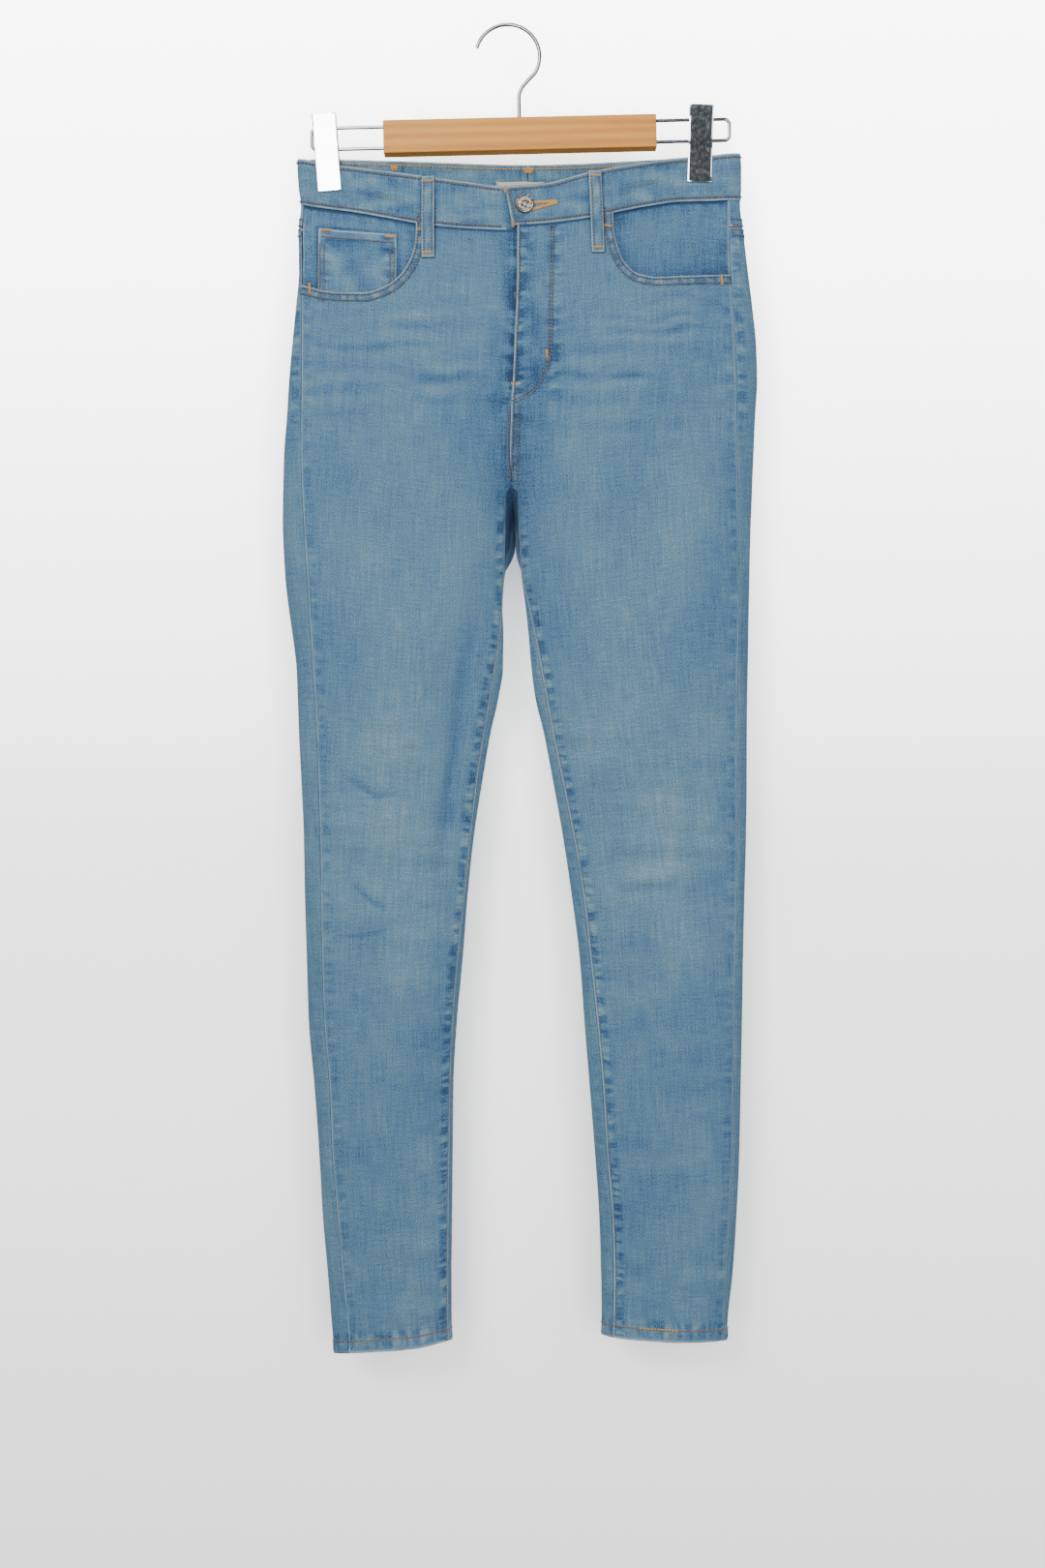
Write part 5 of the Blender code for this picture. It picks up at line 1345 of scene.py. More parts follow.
def back_panel(leg):
    """From the seat seam or inseam round the outer edge to the side seam in front."""
    share = side_shares(96)
    inner_columns = 16
    last = float(hem_drop(leg, corner_x(leg, 1225.0)))
    rise = np.linspace(YOKE_CENTRE, CROTCH_BACK, 84)[:-1]
    fork = CROTCH_BACK + (EVEN - CROTCH_BACK) * np.linspace(0.0, 1.0, 58)
    shin = np.linspace(EVEN, last, int((last - EVEN) / STEP))[1:]
    # Rows slope at the fork, as the inner thigh begins at the front's crotch, and end level
    levels = np.concatenate([rise, fork, shin])
    seat_row = len(rise)
    grid = np.zeros((len(levels), inner_columns + len(share), 3))
    for row, level in enumerate(levels):
        down = (level - levels[0]) / (last - levels[0])
        drops = np.full(len(share), level)
        for _ in range(2):
            x = round_the_side(leg, share, drops)[:, 0]
            top = yoke_seam(share) + 0.2
            drops = top + (hem_drop(leg, x) - top) * down
        grid[row, inner_columns:] = round_the_side(leg, share, drops)
    around = np.linspace(0.0, 1.0, inner_columns + 1)[:-1]
    seam = CROTCH_FRONT + (CROTCH_BACK - CROTCH_FRONT) * around
    below = levels[seat_row:, None]
    reach = np.clip((below - CROTCH_BACK) / (EVEN - CROTCH_BACK), 0.0, 1.0)
    level = np.where(below < EVEN, seam + (EVEN - seam) * reach, below + 0 * seam)
    shares = around + 0 * level
    for _ in range(2):
        x = inner_thigh(leg, shares, level)[..., 0]
        shift = (hem_drop(leg, x) - last) * np.clip((below - EVEN) / (last - EVEN), 0.0, 1.0)
        level = np.where(below < EVEN, seam + (EVEN - seam) * reach, below + shift)
    grid[seat_row:, :inner_columns] = inner_thigh(leg, shares, level)
    # Above the seat seam's end those columns run on past it, only to give the cloth its slope
    for k in range(inner_columns - 1, -1, -1):
        step = grid[:seat_row, inner_columns + 1] - grid[:seat_row, inner_columns]
        grid[:seat_row, k] = grid[:seat_row, inner_columns] - step * (inner_columns - k) * 0.5
    removed = np.zeros(grid.shape[:2], bool)
    removed[:seat_row, :inner_columns] = True
    x, drop = grid[..., 0], -grid[..., 2]
    gaps = edge_distances(grid)
    seat = lengths(grid[:, inner_columns:], 1)
    seat = np.concatenate([np.zeros((len(levels), inner_columns)), seat], axis=1)
    above = (np.arange(len(levels)) <= seat_row)[:, None]
    lift = np.zeros(grid.shape[:2])
    near_seat = (1 - ease(seat, 8.0, 11.0)) * above
    lift = lift + (0.45 if leg == "left" else 0.1) * near_seat
    lift = lift - 0.5 * above * (1 - ease(seat, 0.0, 2.0))
    hem, hem_rise, level_rope = hemmed(gaps, 33)
    lift = lift + hem_rise
    lift = lift + 0.45 * (1 - ease(gaps["top"], 8.0, 10.5))
    front = grid[..., 1] < 0
    fade = np.where(front, 0.02, fading_and_shade(leg, x, drop, False)) + 0.10 * hem
    fade = fade + 0.05 * wander(x, drop, 40.0, 90.0, 44)
    # Between the thighs, under the crotch, a painted shade darkens the cloth to deep indigo
    between = hill(x - 7.0, 15.0) * ease(drop, 424.0, 434.0) * (1 - ease(drop, 486.0, 520.0))
    fade = fade - 1.3 * between * (grid[..., 1] < 6.0)
    rope = 1.05 * (1 - ease(seat, 10.0, 18.0)) * above
    # By the hips the side seam's puckers lie on this panel
    hip = (1 - ease(gaps["end"], 8.0, 14.0)) * ease(gaps["end"], 1.2, 2.4)
    rope = np.maximum(rope, 0.85 * hip * (1 - ease(drop, 330.0, 430.0)))
    level_rope = np.maximum(level_rope, 0.95 * (1 - ease(gaps["top"], 10.0, 17.0)))
    rope = np.where(level_rope > rope, -level_rope, rope)
    edges = {"start": (0.4, 0.0, 5.0, 0.3, 0.0), "end": (0.6, 0.1, 4.0, 0.1, 0.0),
             "bottom": (0.7, 0.0, 3.0, 0.0, 1.2), "top": (0.5, 0.0, 3.0, 0.0, 1.0)}
    panel = Cloth(grid, edges, lift, fade, removed, None, rope)
    # The seat seam is rubbed pale and gets the painted seam shade in its ditch
    panel.rub = np.where(above, np.minimum(panel.rub, panel.turned(seat)), panel.rub)
    sew_along(panel, ("top",), (1.8, 7.6), slice(inner_columns + 2, -2))
    sew(panel.line("bottom", HEM_DEEP, slice(1, -1)), "hem")
    if leg == "left":
        xs = leg_line(leg, BACK_IN, rise)
        for gap in (2.0, 7.8):
            sew(on_face(leg, xs + gap, rise, False, 0.55))
    shell(f"denim_back_{leg}", [panel], CLOTH, replaces=f"back_{leg}")


BOW_COLUMNS = 84       # columns of points from the centre back to a clip


def waistband(leg):
    """Folded double, from the centre back round the side to the fly."""
    sign = -1 if leg == "right" else 1
    clip_inner = CLIP_X[leg] - sign * CLIP_HALF
    clip_outer = CLIP_X[leg] + sign * CLIP_HALF
    lapped = leg == "left"
    rows = []
    for down in np.linspace(0.0, 1.0, 30):
        outer = float(leg_line(leg, OUTER, 145.0))
        centre = float(leg_line(leg, BACK_IN, 145.0)) + sign * MEET
        end = BAND_END_TOP + (BAND_END_BOTTOM - BAND_END_TOP) * down if lapped else UNDERLAP[0]
        ear = outer + (clip_outer - outer) * (1 - np.cos(math.pi / 2 * np.linspace(0.0, 1.0, 12)))
        bow = np.linspace(0.0, 1.0, BOW_COLUMNS) ** 1.1
        x_behind = np.concatenate([(clip_inner + (centre - clip_inner) * bow)[::-1], ear[::-1]])
        x_ahead = np.concatenate([ear[1:], clip_inner + (end - clip_inner) * bow])
        under = () if lapped else np.linspace(UNDERLAP[0], UNDERLAP[1], 22)[1:]
        xs = np.concatenate([x_behind, x_ahead, under])
        front = np.arange(len(xs)) >= len(x_behind)
        top = np.where(front, column(BAND_FRONT[leg], 1, xs), column(BAND_BACK, 1, xs))
        bottom = around_bottom(leg, xs, front) + 0.4
        drops = top + (bottom - top) * down
        shift = leg_line(leg, OUTER, drops) - outer
        near_edge = np.clip(1 - np.abs(xs - outer) / abs(clip_outer - outer), 0.0, 1.0)
        xs = xs + shift * near_edge
        rows.append(np.where(front[:, None], on_front(leg, xs, drops), on_back(leg, xs, drops)))
    points = np.array(rows)
    x, drop = points[..., 0], -points[..., 2]
    lift = np.full(points.shape[:2], BAND_PROUD)
    if not lapped:
        along_end = np.linspace(0.0, 1.0, len(points))[:, None]
        lap_end = BAND_END_TOP + (BAND_END_BOTTOM - BAND_END_TOP) * along_end
        lift = lift - UNDERLAP_DEEP * (points[..., 1] < 0) * ease(x, lap_end - 6.5, lap_end + 1.5)
    # The cloth draws in a little along both stitch rows and swells between them
    gaps = edge_distances(points)
    edge = np.minimum(gaps["top"], gaps["bottom"])
    lift = lift + 0.35 * ease(edge, 3.0, 12.0) - 0.25 * hill(edge - 3.1, 1.3)
    lift = lift + 0.18 * wander(gaps["start"], edge, 11.0, 40.0, 61) * hill(edge - 5.0, 5.0)
    fade = np.where(points[..., 1] < 0, band_fade(x, drop, True), band_fade(x, drop, False))
    rope = -0.42 * np.maximum(hill(gaps["bottom"] - 7.5, 4.5), hill(gaps["top"] - 8.0, 4.0))
    # A painted shadow darkens the band just beside each loop
    for where, front_loop in LOOP_SHADOWS:
        beside = hill(np.abs(x - where) - 7.0, 1.5) * ((points[..., 1] < 0) == front_loop)
        fade = fade - 0.6 * beside
    edges = {"top": (0.9, 0.0, 3.0, 0.0, 1.1), "bottom": (0.7, 0.0, 3.0, 0.0, 1.05),
             "start": (0.3, 0.0, 3.0, 0.0, 0.0), "end": (0.8, 0.0, 5.0, 0.0, 1.1)}
    piece = Cloth(points, edges, lift, fade, None, None, rope)
    shown = slice(1, -2 if lapped else -17)
    sew_along(piece, ("top", "bottom"), (3.8,), shown, "band")
    sew(piece.line("top", 4.6, slice(0, BOW_COLUMNS), inside=BAND_WALL + 0.1), "band inside")
    if lapped:
        sew(piece.line("end", 4.0, slice(2, -2)))
    shell(f"denim_waistband_{leg}", [piece], BAND_WALL, looks=(DENIM,),
          replaces=f"waistband_{leg}")


def facing(leg):
    """The hip piece behind a front pocket's opening."""
    inner = OPENINGS[leg][0][0]
    inner -= math.copysign(12.0, inner)
    bottom = max(drop for _, drop in OPENINGS[leg]) + 12.0
    across, down = ruled(60, 44)
    side = leg_line(leg, SIDE, 195.0 + (bottom - 195.0) * down) - math.copysign(MEET, inner)
    x = inner + (side - inner) * (1 - (1 - across) ** 1.3)
    top = band_bottom(leg, x, True) - 3.0
    drop = top + (bottom - top) * down
    points = on_front(leg, x, drop)
    gap = opening_gap(leg, x, drop)
    # The facing is drawn darker overall, with a painted shadow along the pocket's opening
    fade = fading_and_shade(leg, x, drop, True) - (0.13 if leg == "right" else 0.25) - 0.5 * hill(gap, 9.0)
    fade = fade + 0.18 * hill(drop - (top + 26.0), 16.0)
    edges = {"end": (0.7, 0.2, 4.0, 0.35, 1.0)}
    rope = -0.40 * hill(drop - top - 8.0, 5.0)
    # A painted shadow line under the waistband
    fade = fade - 1.4 * hill(drop - top - 4.1, 1.3)
    if leg == "right":
        # A painted shadow line round the coin pocket's edge
        beside = np.maximum(np.abs(x - (COIN[0] + COIN[1]) / 2) - (COIN[1] - COIN[0]) / 2, 0.0)
        above = np.maximum(COIN[2] + (COIN[3] - COIN[2]) * ease(x, COIN[0], COIN[1]) - drop, 0.0)
        fade = fade - 0.7 * hill(np.hypot(beside, above) - 0.8, 1.8)
    lift = -1.35 + 0.35 * wander(x, drop, 50.0, 40.0, 71) * hill(gap - 30.0, 22.0)
    piece = Cloth(points, edges, lift, fade, None, (0, -1, 0), rope)
    shell(f"denim_facing_{leg}", [piece], CLOTH * 0.6, replaces=f"facing_{leg}")


def coin_pocket():
    """The small pocket on the right facing, its mouth hemmed."""
    left, right, top_left, top_right, bottom = COIN
    across, down = ruled(46, 44)
    x = left + (right - left) * across
    top = top_left + (top_right - top_left) * across
    drop = top + (bottom + 4.0 - top) * down
    points = on_front("right", x, drop)
    gaps = edge_distances(points)
    hem = 1 - ease(gaps["top"], 9.0, 10.5)
    fade = -0.11 + 0.18 * hem + 0.16 * wander(x, drop, 34.0, 30.0, 81)
    fade = fade - 0.40 * hill(gaps["top"] - 15.0, 5.0)
    edges = {"start": (0.7, 0.1, 3.0, 0.6, 1.2), "end": (0.7, 0.1, 3.0, 0.6, 1.2),
             "top": (0.7, 0.0, 3.0, 0.4, 1.4)}
    # A painted shadow line just below the hem's edge
    fade = fade - 0.5 * hill(gaps["top"] - 10.6, 0.9)
    rope = 0.95 * hill(np.minimum(gaps["start"], gaps["end"]) - 8.0, 6.0)
    piece = Cloth(points, edges, -0.35 + 0.35 * hem, fade, None, (0, -1, 0), rope)
    sew(piece.line("top", 8.6, slice(2, -2)))
    sew_along(piece, ("start",), (2.2, 6.2), slice(8, 40))
    sew_along(piece, ("end",), (2.2, 6.2), slice(8, 36))
    shell("denim_coin_pocket", [piece], 0.8, replaces="coin_pocket")


def back_pocket(leg):
    """A plain patch pocket with a pointed foot."""
    middle, top, lean = BACK_POCKETS[leg]
    width, side, point, narrow = BACK_POCKET
    lean = math.radians(lean)
    across, down = ruled(68, 66, -1.0)
    length = side + (point - side) * (1 - np.abs(across))
    local_drop = length * down
    local_x = across * (width / 2 - narrow * np.minimum(local_drop / side, 1.0))
    x = middle + local_x * math.cos(lean) - local_drop * math.sin(lean)
    drop = top + local_x * math.sin(lean) + local_drop * math.cos(lean)
    points = on_back(leg, x, drop)
    gaps = edge_distances(points)
    hem = 1 - ease(gaps["top"], 11.0, 12.5)
    rise = 0.95 + 0.3 * hem + 0.35 * wander(x, drop, 60.0, 50.0, 83 if leg == "left" else 84)
    fade = fading_and_shade(leg, x, drop, False) + 0.10 + 0.08 * hem
    edges = {"start": (0.8, 0.0, 4.0, 0.6, 1.2), "end": (0.8, 0.0, 4.0, 0.6, 1.2),
             "top": (0.8, 0.0, 3.0, 0.4, 1.4), "bottom": (0.8, 0.0, 4.0, 0.7, 1.2)}
    rope = -0.9 * hem + 0 * x
    piece = Cloth(points, edges, rise, fade, None, (0, 1, 0), rope)
    sew(piece.line("top", 10.5, slice(1, -1)))
    sew_along(piece, ("start", "end"), (2.0, 8.0), slice(1, -2))
    sew_along(piece, ("bottom",), (2.0, 8.0), slice(1, -1))
    for way in (-1, 1):
        px = middle + way * (width / 2 - 5.5) * math.cos(lean)
        pd = top + way * (width / 2 - 5.5) * math.sin(lean) + 4.5
        tack_on(leg, px, pd, (math.cos(lean), math.sin(lean)), 9.0, 2.0, front=False, lift=1.7)
    shell(f"denim_back_pocket_{leg}", [piece], 0.9, replaces=f"back_pocket_{leg}")


def belt_loop(name):
    """A folded strip, tacked down at both ends over the band."""
    top_x, bottom_x, top, bottom = LOOPS[name]
    front = "front" in name
    leg = "right" if top_x < 15.0 else "left"
    across, down = ruled(15, 64)
    x = top_x + (bottom_x - top_x) * down + LOOP_WIDTH * (across - 0.5)
    if not front:
        top = float(column(BAND_BACK, 1, top_x)) + 1.6
    drop = top + (bottom - top) * down
    points = (on_front if front else on_back)(leg, x, drop)
    # The strip is folded in three and stands off the band between its two tacks
    clear = BAND_PROUD + 0.5 + LOOP_WALL + 1.3 * np.sin(math.pi * down) ** 2
    clear = clear - 0.25 * hill((across - 0.5) * LOOP_WIDTH, 1.6)
    clear = clear - 0.5 * ease(np.abs(down - 0.5), 0.44, 0.5)
    clear = clear + 0.2 * wander(x, drop, 9.0, 12.0, 85)
    fade = 0.18 + 0.22 * wander(x, drop, 14.0, 20.0, 86) - 0.4 * hill((down - 0.68) * 75.0, 9.0)
    edges = {"start": (0.9, 0.0, 3.0, 0.0, 0.8), "end": (0.9, 0.0, 3.0, 0.0, 0.8),
             "top": (0.8, 0.0, 3.0, 0.0, 1.1), "bottom": (0.9, 0.0, 3.0, 0.0, 1.1)}
    piece = Cloth(points, edges, clear, fade, None, (0, -1 if front else 1, 0))
    sew_along(piece, ("start", "end"), (2.5,), slice(4, -4), "loop")
    for row in (4, -5):
        middle = points.shape[1] // 2
        place, up = piece.points[row, middle], piece.normal[row, middle]
        bar_tack(place, up, piece.points[row, -1] - piece.points[row, 0], 7.6, 1.9)
    shell(name.replace("loop", "belt_loop"), [piece], LOOP_WALL, looks=(DENIM,),
          replaces=name)


def fly_shield():
    """The flap behind the zip."""
    across, down = ruled(16, 40)
    x_from, x_to, top, bottom = SHIELD
    x = x_from + (x_to - x_from) * across
    drop = top + (bottom - top) * down
    edges = {"start": (0.3, 0.0, 3.0, 0.2, 1.0), "end": (0.3, 0.0, 3.0, 0.2, 1.0)}
    piece = Cloth(on_front("left", x, drop), edges, -SHIELD_DEEP, 0.0, None, (0, -1, 0))
    shell("denim_fly_shield", [piece], CLOTH, replaces="fly_shield")


def label():
    """A bare tape folded under at its ends and stitched inside the back waistband."""
    x_from, x_to, top, bottom = LABEL
    across, down = ruled(40, 18)
    x = x_from + (x_to - x_from) * across
    drop = top + (bottom - top) * down + 0.35 * np.sin(across * 9.0) * (1 - down)
    points = on_back("right", x, drop)
    depth = BAND_WALL - BAND_PROUD + 1.0 + 0.35 * np.sin(across * 7.0 + 1.0) * (1 - down)
    points = points + np.array((0.0, -1.0, 0.0)) * depth[..., None]
    piece = Cloth(points, {"start": (0.5, 0, 3, 0, 0), "end": (0.5, 0, 3, 0, 0)}, 0.0, 0.0, None,
                  (0, -1, 0))
    sew_along(piece, ("start", "end"), (1.6,), slice(1, -1), "label")
    shell("neck_label", [piece], 0.6, slot="label_tape", looks=(LABEL_TAPE,),
          replaces="label")


def fly_stitching():
    """The J of the fly, the front's tacks, the loops' tacks inside and the buttonhole."""
    x, drop = drawn_line(J_LINE, 160)
    way = heading(x, drop)
    for offset in (0.0, -2.6):
        sew(on_face("left", x + way[:, 1] * offset, drop - way[:, 0] * offset, True, 0.95), "fly")
    for leg, x, drop, along, length, width, lift in TACKS:
        tack_on(leg, x, drop, along, length, width, lift=lift)
    for x, drop, length in INNER_TACKS:
        for low, share in ((0.0, 1.0), (1.6, 0.86), (3.0, 0.56)):
            here = on_back("left" if x > 9.2 else "right", x, drop + low)
            bar_tack(here - np.array((0.0, BAND_WALL - BAND_PROUD + 0.35, 0.0)), (0.0, -1.0, 0.0),
                     (1.0, 0.0, 0.0), length * share, 2.0)
    # The buttonhole's two purled edges run out from under the button to a point
    for (start_x, start), (end_x, end) in BUTTONHOLE:
        for k in range(26):
            s = k / 25
            tack_on("left", start_x + (end_x - start_x) * s, start + (end - start) * s ** 1.1,
                    (0.0, 1.0) if k % 2 else (0.12, 1.0), 1.7, 0.9, lift=1.15)


# ---------------------------------------------------------------- trims and hanger

def turned_piece(name, profile, steps, look, place, lean, extra):
    """A round piece turned from a profile of radius and height, then stood on the band.
    What extra adds to it is not turned."""
    bm = bmesh.new()
    ring = [bm.verts.new((radius * MM, 0.0, height * MM)) for radius, height in profile]
    for first, second in zip(ring, ring[1:]):
        bm.edges.new((first, second))
    bmesh.ops.spin(bm, geom=bm.verts[:] + bm.edges[:], cent=(0, 0, 0), axis=(0, 0, 1),
                   angle=2 * math.pi, steps=steps, use_merge=True)
    bmesh.ops.remove_doubles(bm, verts=bm.verts, dist=1e-6)
    bmesh.ops.recalc_face_normals(bm, faces=bm.faces)
    extra(bm)
    turn = Matrix.Translation(Vector(place) * MM) @ Matrix.Rotation(math.pi / 2 - lean, 4, "X")
    bmesh.ops.transform(bm, matrix=turn, verts=bm.verts)
    mesh = mesh_of(name, bm, look)
    mesh.shade_smooth()
    mesh.set_sharp_from_angle(angle=math.radians(45))
    return stood(name, mesh)


def button():
    """A shank button with a beaded ring round a dimple. It bears no lettering."""
    profile = ((0.0, 1.9), (0.9, 1.75), (1.7, 1.9), (2.3, 2.5), (2.9, 2.75), (3.5, 2.45),
               (4.0, 2.15), (6.6, 2.15), (7.0, 2.5), (7.5, 2.95), (8.0, 3.05), (8.4, 2.7),
               (8.6, 2.1), (8.5, 1.3), (7.9, 0.6), (7.0, 0.2), (0.0, 0.2))

    def beads(bm):
        for k in range(16):
            turn = 2 * math.pi * k / 16
            spot = Matrix.Translation(Vector((BEAD_RING * math.cos(turn),
                                              BEAD_RING * math.sin(turn), 2.2)) * MM)
            shape = Matrix.Rotation(turn, 4, "Z") @ Matrix.Diagonal((1.25, 0.85, 0.75, 1.0))
            bmesh.ops.create_uvsphere(bm, u_segments=8, v_segments=6, radius=MM,
                                      matrix=spot @ shape)

    here = on_front("left", BUTTON[0], BUTTON[1])
    below = on_front("left", BUTTON[0], BUTTON[1] + 6.0)
    lean = math.atan2(below[1] - here[1], 6.0)
    piece = turned_piece("shank_button", profile, 48, NICKEL, (here[0], here[1] - 1.3, here[2]),
                         lean, beads)
    settle(piece, "antique_nickel", "button")


def tilted_points(points):
    """Places on the level hanger turned about the hook, as x, y and z in metres."""
    turn = Matrix.Rotation(-TILT, 3, "Y")
    return [turn @ Vector((x, y, -drop)) * MM for x, y, drop in points]


def wire(name, points, radius, node_name):
    """A smooth round wire through points, its ends capped."""
    curve = bpy.data.curves.new(name, "CURVE")
    curve.dimensions = "3D"
    curve.bevel_depth = radius * MM
    curve.bevel_resolution = 5
    curve.use_fill_caps = True
    spline = curve.splines.new("POLY")
    spline.points.add(len(points) - 1)
    for point, place in zip(spline.points, tilted_points(points)):
        point.co = (*place, 1.0)
    curve.materials.append(WIRE_PLATE)
    settle(stood(name, curve), "chrome", node_name)


def hanger():
    """The two wire loops that the clips run on, and the hook."""
    for leg, sign in (("right", -1), ("left", 1)):
        upper = BAR_MIDDLE[1] - WIRE_ABOVE
        lower = BAR_MIDDLE[1] + WIRE_BELOW
        radius = (lower - upper) / 2
        end = WIRE_ENDS[leg] - sign * radius
        start = BAR_MIDDLE[0] + sign * (BAR_LENGTH / 2 - 18.0)
        # Each loop's end is squared off with two small bends
        bend_x = end + sign * (radius - WIRE_CORNER)
        quarter = np.linspace(0.0, math.pi / 2, 10)
        bend = [(bend_x + sign * WIRE_CORNER * math.sin(a), 0.0,
                 upper + WIRE_CORNER * (1 - math.cos(a))) for a in quarter]
        bend += [(bend_x + sign * WIRE_CORNER * math.cos(a), 0.0,
                  lower - WIRE_CORNER * (1 - math.sin(a))) for a in quarter]
        path = [(start, 0.0, upper)] + bend + [(start, 0.0, lower)]
        wire(f"steel_wire_{leg}", path, WIRE_RADIUS, f"hanger_wire_{leg}")
    centre = HOOK_BEND - 1.5
    bend = [(HOOK_BEND * math.cos(a), 0.0, centre - HOOK_BEND * math.sin(a))
            for a in np.radians(np.linspace(163.0, -32.0, 60))]
    stem = np.array([bend[-2][::2], bend[-1][::2]] + list(HOOK_STEM))
    t = travelled(*stem.T)
    fine = np.linspace(t[1], t[-1], 40)
    low = [(float(follow(t, stem[:, 0], s)), 0.0, float(follow(t, stem[:, 1], s))) for s in fine]
    wire("steel_hook", bend[:-1] + low, HOOK_RADIUS, "hanger_hook")


def clip(leg):
    """Two bent chrome plates and the pin they turn on."""
    top_x, top_drop, bottom_x = CLIPS[leg]
    lean = math.atan2(bottom_x - top_x, CLIP_LENGTH)
    turn = Vector((math.cos(lean), 0.0, math.sin(lean)))
    down = Vector((math.sin(lean), 0.0, -math.cos(lean)))
    out = Vector((0.0, 1.0, 0.0))
    along = np.linspace(0.0, CLIP_LENGTH, 60)
    inner = follow([a for a, _ in CLIP_PROFILE], [b for _, b in CLIP_PROFILE], along)
    for side, sign in (("front", -1), ("back", 1)):
        bm = bmesh.new()
        bmesh.ops.create_grid(bm, x_segments=8, y_segments=len(along) - 1, size=0.5)
        for vertex in bm.verts:
            k = round((0.5 - vertex.co.y) * (len(along) - 1))
            # The columns next to the long edges lie close to them, and the edges turn in slightly
            close = 1.2 if 0.3 < abs(vertex.co.x) < 0.45 else 1.0
            flange = 0.0 if abs(vertex.co.x) < 0.49 else -0.22
            place = Vector((top_x, 0.0, -top_drop)) + down * along[k]
            place = place + turn * (vertex.co.x * CLIP_WIDTH * close)
            vertex.co = (place + out * sign * (inner[k] + CLIP_WALL + flange)) * MM
        bm.normal_update()
        middle = sum((face.normal for face in bm.faces), Vector())
        if middle.y * sign < 0:
            bmesh.ops.reverse_faces(bm, faces=bm.faces[:])
        mesh = mesh_of(f"clip_plate_{leg}_{side}", bm, CHROME)
        mesh.shade_smooth()
        mesh.set_sharp_from_angle(angle=math.radians(9))
        piece = stood(mesh.name, mesh)
        thick = piece.modifiers.new("plate", "SOLIDIFY")
        thick.thickness = CLIP_WALL * MM
        thick.offset = -1.0
        edge = piece.modifiers.new("edge", "BEVEL")
        edge.width = 0.25 * MM
        edge.segments = 2
        edge.limit_method = "ANGLE"
        edge.angle_limit = math.radians(50)
        settle(piece, "chrome", f"clip_{leg}_{side}")
    give(f"clip_{leg}_pivot", CHROME)


# ---------------------------------------------------------------- studio

def backdrop_paint():
    """Matt pale grey paint. It glows as if a lamp of its own washed it from above, is seen only
    from the side it faces, and the jeans shade it just beside them."""
    made, n, finish = new_material("matt paint, pale grey")
    tree = made.node_tree
    high = n("SeparateXYZ", {0: n("NewGeometry", out="Position")}, out=2)
    wash = n("MapRange", {"Value": high, "From Min": -1.55, "From Max": 0.1, "To Min": 0.86,
                          "To Max": 3.3})
    top = n("MapRange", {"Value": high, "From Min": -0.75, "From Max": 0.1, "To Max": 4.5})
    wash = n("Math", {0: wash, 1: top}, operation="ADD")
    # A painted shadow: the glow is dimmed where the jeans come close
    near = n("AmbientOcclusion", {"Distance": 0.055}, out="AO", samples=6)
    shade = n("MapRange", {"Value": near, "From Min": 0.4, "To Min": 0.12})
    finish({"Base Color": colour("#E9EAEA"), "Roughness": 0.9, "Specular IOR Level": 0.1,
            "Emission Strength": n("Math", {0: wash, 1: shade}, operation="MULTIPLY"),
            "Emission Color": colour("#FFFFFC")})
    both = n("MixShader", {0: n("NewGeometry", out="Backfacing"),
                           1: tree.nodes["Principled BSDF"].outputs[0],
                           2: n("BsdfTransparent")})
    fill(tree, tree.nodes["Material Output"], {"Surface": both})
    return made


def board(name, place, turn, wide, tall, look):
    """A flat board of the studio, turned about X, that neither shades nor tints the jeans."""
    bm = bmesh.new()
    bmesh.ops.create_grid(bm, x_segments=1, y_segments=1, size=0.5)
    bmesh.ops.transform(bm, verts=bm.verts, matrix=Matrix.Translation(place)
                        @ Matrix.Rotation(turn, 4, "X") @ Matrix.Diagonal((wide, tall, 1.0, 1.0)))
    made = stood(name, mesh_of(name, bm, look))
    made.visible_diffuse = False
    made.visible_shadow = False
    return made


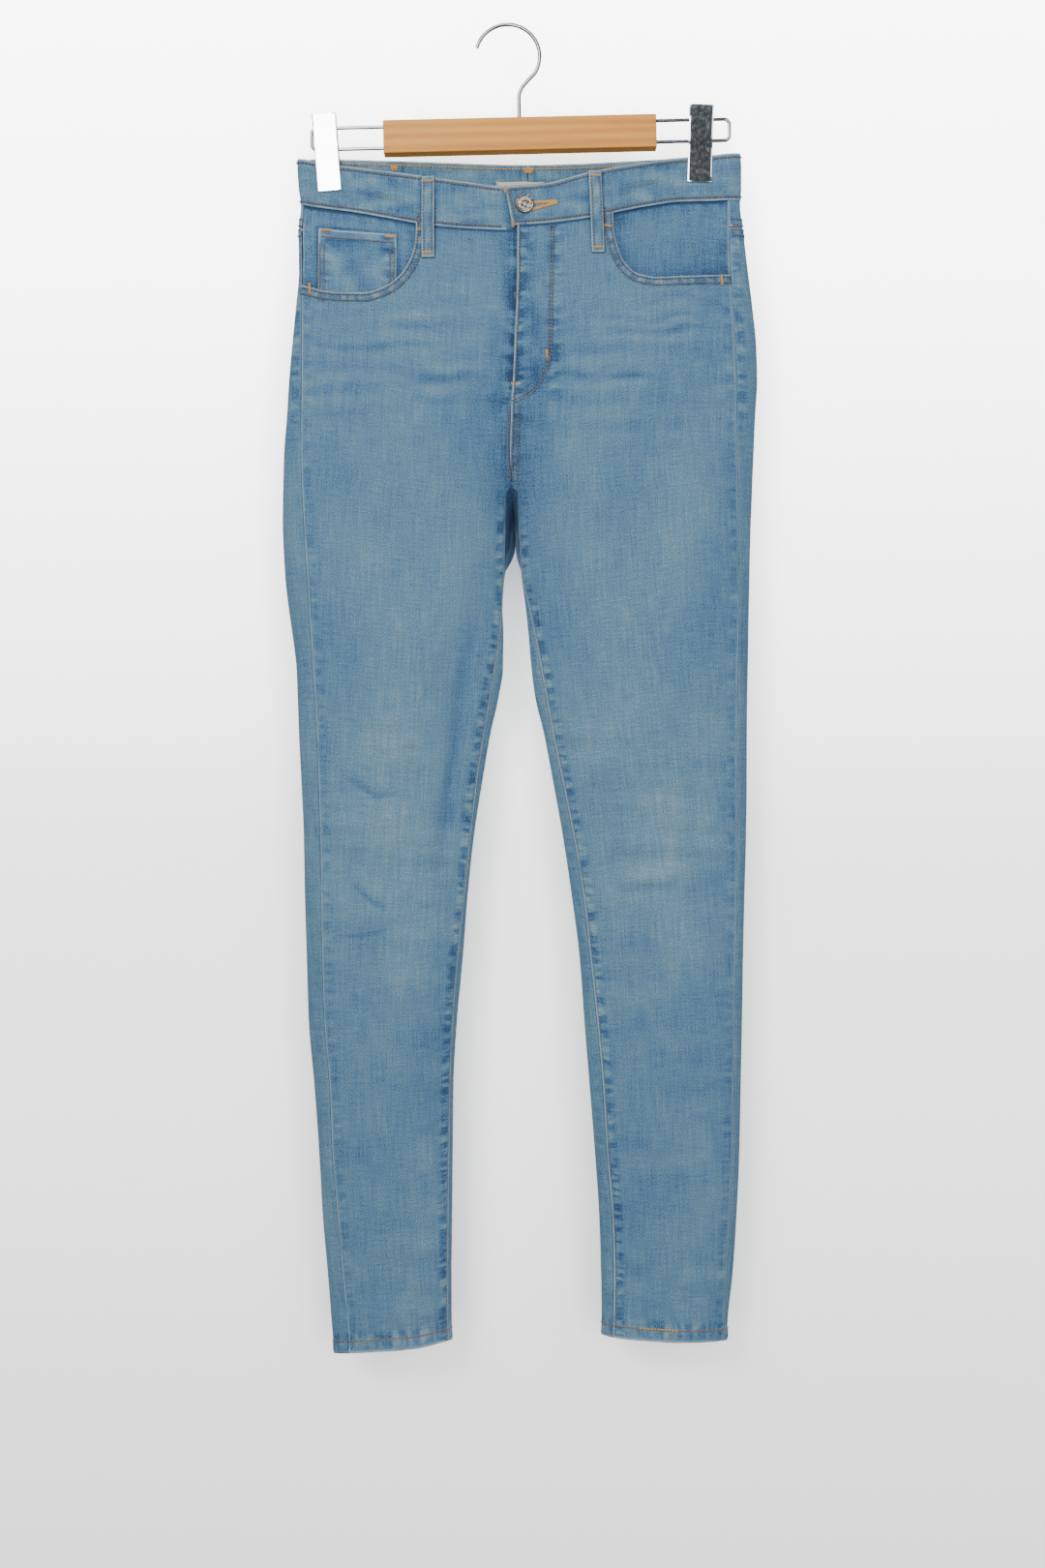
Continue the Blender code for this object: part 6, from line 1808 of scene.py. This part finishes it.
def studio():
    """The photo's camera, soft lamps, a wall with its floor, and cards for the chrome."""
    camera = bpy.data.cameras.new("camera")
    camera.lens = LENS_LENGTH
    camera.sensor_width = 36.0
    eye = stood("camera", camera)
    eye.location = EYE
    eye.rotation_euler = (math.pi / 2, 0.0, 0.0)
    bpy.context.scene.camera = eye

    world = bpy.data.worlds.new("studio")
    world.use_nodes = True
    fill(world.node_tree, world.node_tree.nodes["Background"],
         {"Color": colour("#F1F3F4"), "Strength": 0.30})
    bpy.context.scene.world = world

    for name, place, aim, size, power, tint in (
            ("key", (-1.5, -2.6, 1.0), (0.0, 0.0, -0.5), 1.6, 100.0, "#FFFDF9"),
            ("fill", (1.7, -2.2, -0.4), (0.0, 0.0, -0.7), 2.2, 40.0, "#F8FBFF"),
            ("back left", (-1.6, 2.6, 0.6), (0.0, 0.0, -0.6), 2.2, 80.0, "#FFFFFF"),
            ("back right", (1.8, 2.2, -0.3), (0.0, 0.0, -0.6), 2.2, 46.0, "#F8FBFF")):
        lamp = bpy.data.lights.new(name, "AREA")
        lamp.shape = "SQUARE"
        lamp.size = size
        lamp.energy = power
        lamp.color = colour(tint)[:3]
        light = stood(name, lamp)
        light.location = place
        light.rotation_euler = (Vector(aim) - Vector(place)).to_track_quat("-Z", "Y").to_euler()

    paint = backdrop_paint()
    for name, place, turn in (("wall", (0.0, 0.046, 0.3), math.pi / 2),
                              ("floor", (0.0, 0.0, -1.56), 0.0)):
        board(name, place, turn, BACKDROP, BACKDROP, paint).visible_glossy = False

    # What the chrome sees: a lit white card up on the left, a grey one on the right
    for name, place, tall, code, glow in (
            ("white_card", (-0.46, -3.0, 2.2), 7.6, "#FFFFFF", 16.0),
            ("black_card", (0.52, -3.0, 0.6), 4.4, "#3F4546", 0.5)):
        paper, _, finish = new_material(name.replace("_", " "))
        finish({"Base Color": colour(code), "Roughness": 0.9, "Emission Color": colour(code),
                "Emission Strength": glow})
        board(name, place, -math.pi / 2, 0.78, tall, paper).visible_camera = False


studio()
for which in LEGS:
    front_panel(which)
    back_panel(which)
    yoke(which)
    waistband(which)
    facing(which)
    back_pocket(which)
coin_pocket()
for loop_name in LOOPS:
    belt_loop(loop_name)
fly_shield()
label()
fly_stitching()
button()
hanger()
for which in LEGS:
    clip(which)
all_stitches()
for node_name, plain_look in (("hanger_bar", WOOD), ("zip_tape", ZIP_TAPE), ("zip_chain", BRASS),
                              ("zip_slider", BRASS)):
    give(node_name, plain_look)
